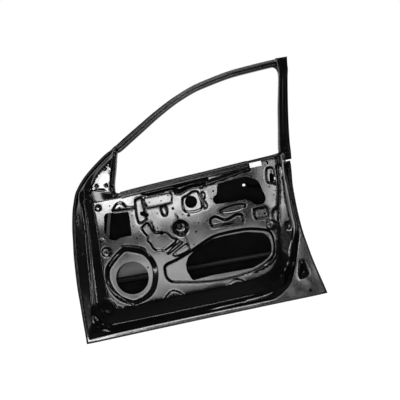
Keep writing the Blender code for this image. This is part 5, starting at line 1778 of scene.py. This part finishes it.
# Soft boxes beside the camera, a bounce from the floor, and strips above and at both sides.
LAMPS = (
    SoftLamp("soft_box_key", (0.38, -4.65, 0.40), (0.76, 0.27), 12.5),
    SoftLamp("soft_box_low", (0.16, -4.65, -0.30), (0.75, 0.60), 5.0),
    SoftLamp("soft_box_right", (1.37, -4.65, 0.33), (0.24, 0.48), 5.5),
    SoftLamp("soft_box_high", (-0.22, -4.65, 0.62), (0.40, 0.40), 14.0),
    SoftLamp("floor_bounce", (0.44, -2.05, -0.08), (1.06, 0.35), 4.4),
    SoftLamp("strip_above", (0.50, -1.90, 3.10), (2.40, 0.60), 42.0),
    SoftLamp("strip_left", (-2.60, -1.90, 0.30), (0.14, 1.80), 9.0),
    SoftLamp("strip_right", (3.40, -2.40, 0.30), (0.16, 1.60), 9.0),
)


@dataclass
class Studio:
    """The camera at the photograph's place, the floor, the surround and the soft lamps.

    Attributes:
        eye: The camera's place.
        across: The direction of the picture's width.
        up: The direction of the picture's height.
        lens: The camera's focal length.
        floor_height: The floor's own.
        floor_reach: How far the floor runs each way from its middle.
        glow: How strongly the floor shines, so that it reads white.
        shade: The share of the floor's look that is this shine, the rest being its paint with the shadow.
        dark: How strongly the surround and the floor mirror behind the camera.
        even: The strength of the even light on what scatters it.
    """

    eye: tuple[float, float, float] = (0.6044, -4.5697, 0.3506)
    across: tuple[float, float, float] = (0.97797, 0.0, -0.20876)
    up: tuple[float, float, float] = (0.20876, 0.0, 0.97797)
    lens: float = 90.0
    floor_height: float = -0.192
    floor_reach: float = 4.0
    glow: float = 1.12
    shade: float = 0.86
    dark: tuple[float, float] = (0.03, 0.02)
    even: float = 0.62

    def camera(self) -> None:
        """Place the camera."""
        data = bpy.data.cameras.new("camera")
        data.lens = self.lens
        data.sensor_width = 36.0
        data.clip_end = 60.0
        seat = Matrix((self.across, self.up, (0.0, -1.0, 0.0))).transposed().to_4x4()
        seat.translation = self.eye
        viewer = bpy.data.objects.new("camera", data)
        bpy.context.scene.collection.objects.link(viewer)
        viewer.matrix_world = seat
        bpy.context.scene.camera = viewer

    def surround(self) -> None:
        """White behind the door, dark behind the camera, and a low even light on what scatters it."""
        world = bpy.data.worlds.new("surround")
        world.use_nodes = True
        bpy.context.scene.world = world
        graph = Graph(world.node_tree)
        ray = graph.add("ShaderNodeLightPath").outputs
        around = graph.add("ShaderNodeTexCoord").outputs["Generated"]
        mirrored = graph.fade(around, "Y", 0.05, 0.75, low=self.dark[0])
        strength = graph.choose(ray["Is Glossy Ray"], self.even, mirrored)
        strength = graph.choose(ray["Is Transmission Ray"], strength, 1.0)
        strength = graph.choose(ray["Is Camera Ray"], strength, 1.0)
        graph.feed(world.node_tree.nodes["Background"], {"Color": (1.0, 1.0, 1.0, 1.0), "Strength": strength})

    def floor(self) -> None:
        """A pale floor that reads white and keeps the door's soft shadow."""
        corners = np.array([(-1, -1, 0), (1, -1, 0), (1, 1, 0), (-1, 1, 0)], float) * self.floor_reach
        corners += (DOOR_MIDDLE[0], 1.5, self.floor_height)
        paint = bpy.data.materials.new("floor_paint")
        paint.use_nodes = True
        graph = Graph(paint.node_tree)
        surface = paint.node_tree.nodes["Principled BSDF"]
        graph.feed(surface, {"Base Color": (0.80, 0.80, 0.80, 1.0), "Roughness": 0.9})
        ray = graph.add("ShaderNodeLightPath").outputs
        place = graph.add("ShaderNodeTexCoord").outputs["Object"]
        behind = graph.fade(place, "Y", -0.2, 1.2, low=self.dark[1])
        shine = graph.choose(ray["Is Glossy Ray"], self.glow, behind)
        glow = graph.add("ShaderNodeEmission", {"Strength": shine})
        seen = graph.add("ShaderNodeMath", {0: ray["Is Camera Ray"], 1: self.shade, 2: ray["Is Glossy Ray"]},
                         operation="MULTIPLY_ADD")
        mix = graph.add("ShaderNodeMixShader", {0: seen.outputs[0], 1: surface.outputs["BSDF"],
                                                2: glow.outputs["Emission"]})
        graph.feed(paint.node_tree.nodes["Material Output"], {"Surface": mix.outputs["Shader"]})
        make_piece("floor", corners, [(0, 1, 2, 3)], paint)

    def build(self) -> None:
        """Set the whole studio."""
        self.camera()
        self.surround()
        self.floor()
        for lamp in LAMPS:
            lamp.hang()
        bpy.context.scene.view_settings.view_transform = "Standard"


# Plates between the two panels, which take the cavity's darker, duller copy of the primer: painted shade
# inside the door.
HIDDEN_PLATES = ("handle_plate", "belt_rail_outer", "beam_bracket_front", "beam_bracket_rear", "latch_plate",
                 "hinge_plate_lower", "hinge_plate_upper", "check_plate", "mirror_plate", "rear_glass_run")


def dress_nodes(finishes: dict[str, bpy.types.Material]) -> None:
    """Give every carried-over node its finish.

    Args:
        finishes: The material of each record slot.
    """
    for name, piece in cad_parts.items():
        for seat in piece.material_slots:
            base = seat.material.name.split(".")[0] if seat.material else "primed_steel"
            seat.material = finishes["cavity"] if name in HIDDEN_PLATES else finishes[base]
        LOG.info("dressed %s", name)


def main() -> None:
    """Build the studio, the finishes and every piece, in that order."""
    logging.basicConfig(level=logging.INFO, format="%(name)s %(message)s")
    Studio().build()
    shades = Shades()
    primer = Primer("baked_primer", (0.09, 0.15), wave=0.0010).build(shades)
    steel = Primer("primed_steel_coat", (0.38, 0.50), coat=0.0).build(shades)
    hem = Primer("hem_sealer_primer", (0.22, 0.30), dusty=(0.0030, 0.0031, 0.0034, 1.0),
                 coat=0.0, sheen=0.16).build(shades)
    # The cavity's coat is the primer made darker and duller: painted shade for the inside of the door.
    inside = Primer("cavity_shade_primer", (0.55, 0.70), colour=(0.0010, 0.0010, 0.0011, 1.0),
                    dusty=(0.0020, 0.0020, 0.0022, 1.0), coat=0.40, sheen=0.08,
                    pool=(("X", 0.42, 0.36), ("Z", 0.055, 0.115), ("Z", 0.24, 0.18))).build(shades)
    paper = Paper().build(shades)
    dress_nodes({"black_primer": primer, "primed_steel": steel, "white_paper": paper, "cavity": inside})
    panel = InnerPanel()
    panel.build(primer)
    OuterSkin(panel.perimeter).build(primer, inside, hem)
    header = HeaderFrame(HEADER_SECTION, HEADER_LINE, Side.INWARD)
    header_corners = header.build("dressed_header", "header_frame", primer)
    sash = RolledStrip(SASH_SECTION, SASH_LINE, Side.OUTWARD)
    sash.build("dressed_rear_sash", "rear_sash", primer)
    back = (FRAME_SHEET + CLEARANCE) / FRAME_DEPTH
    cover = RolledStrip([(across, -back) for across in (.02, .35, .68, .98)], SASH_LINE, Side.OUTWARD)
    cover.build("dressed_sash_cover", "sash_cover", primer)
    CornerGusset().build(primer)
    BeltRail().build(primer)
    SpotWelds().build("header_welds", header_corners[:, HEADER_JOINT].mean(axis=1), primer)


if __name__ == "__main__":
    main()
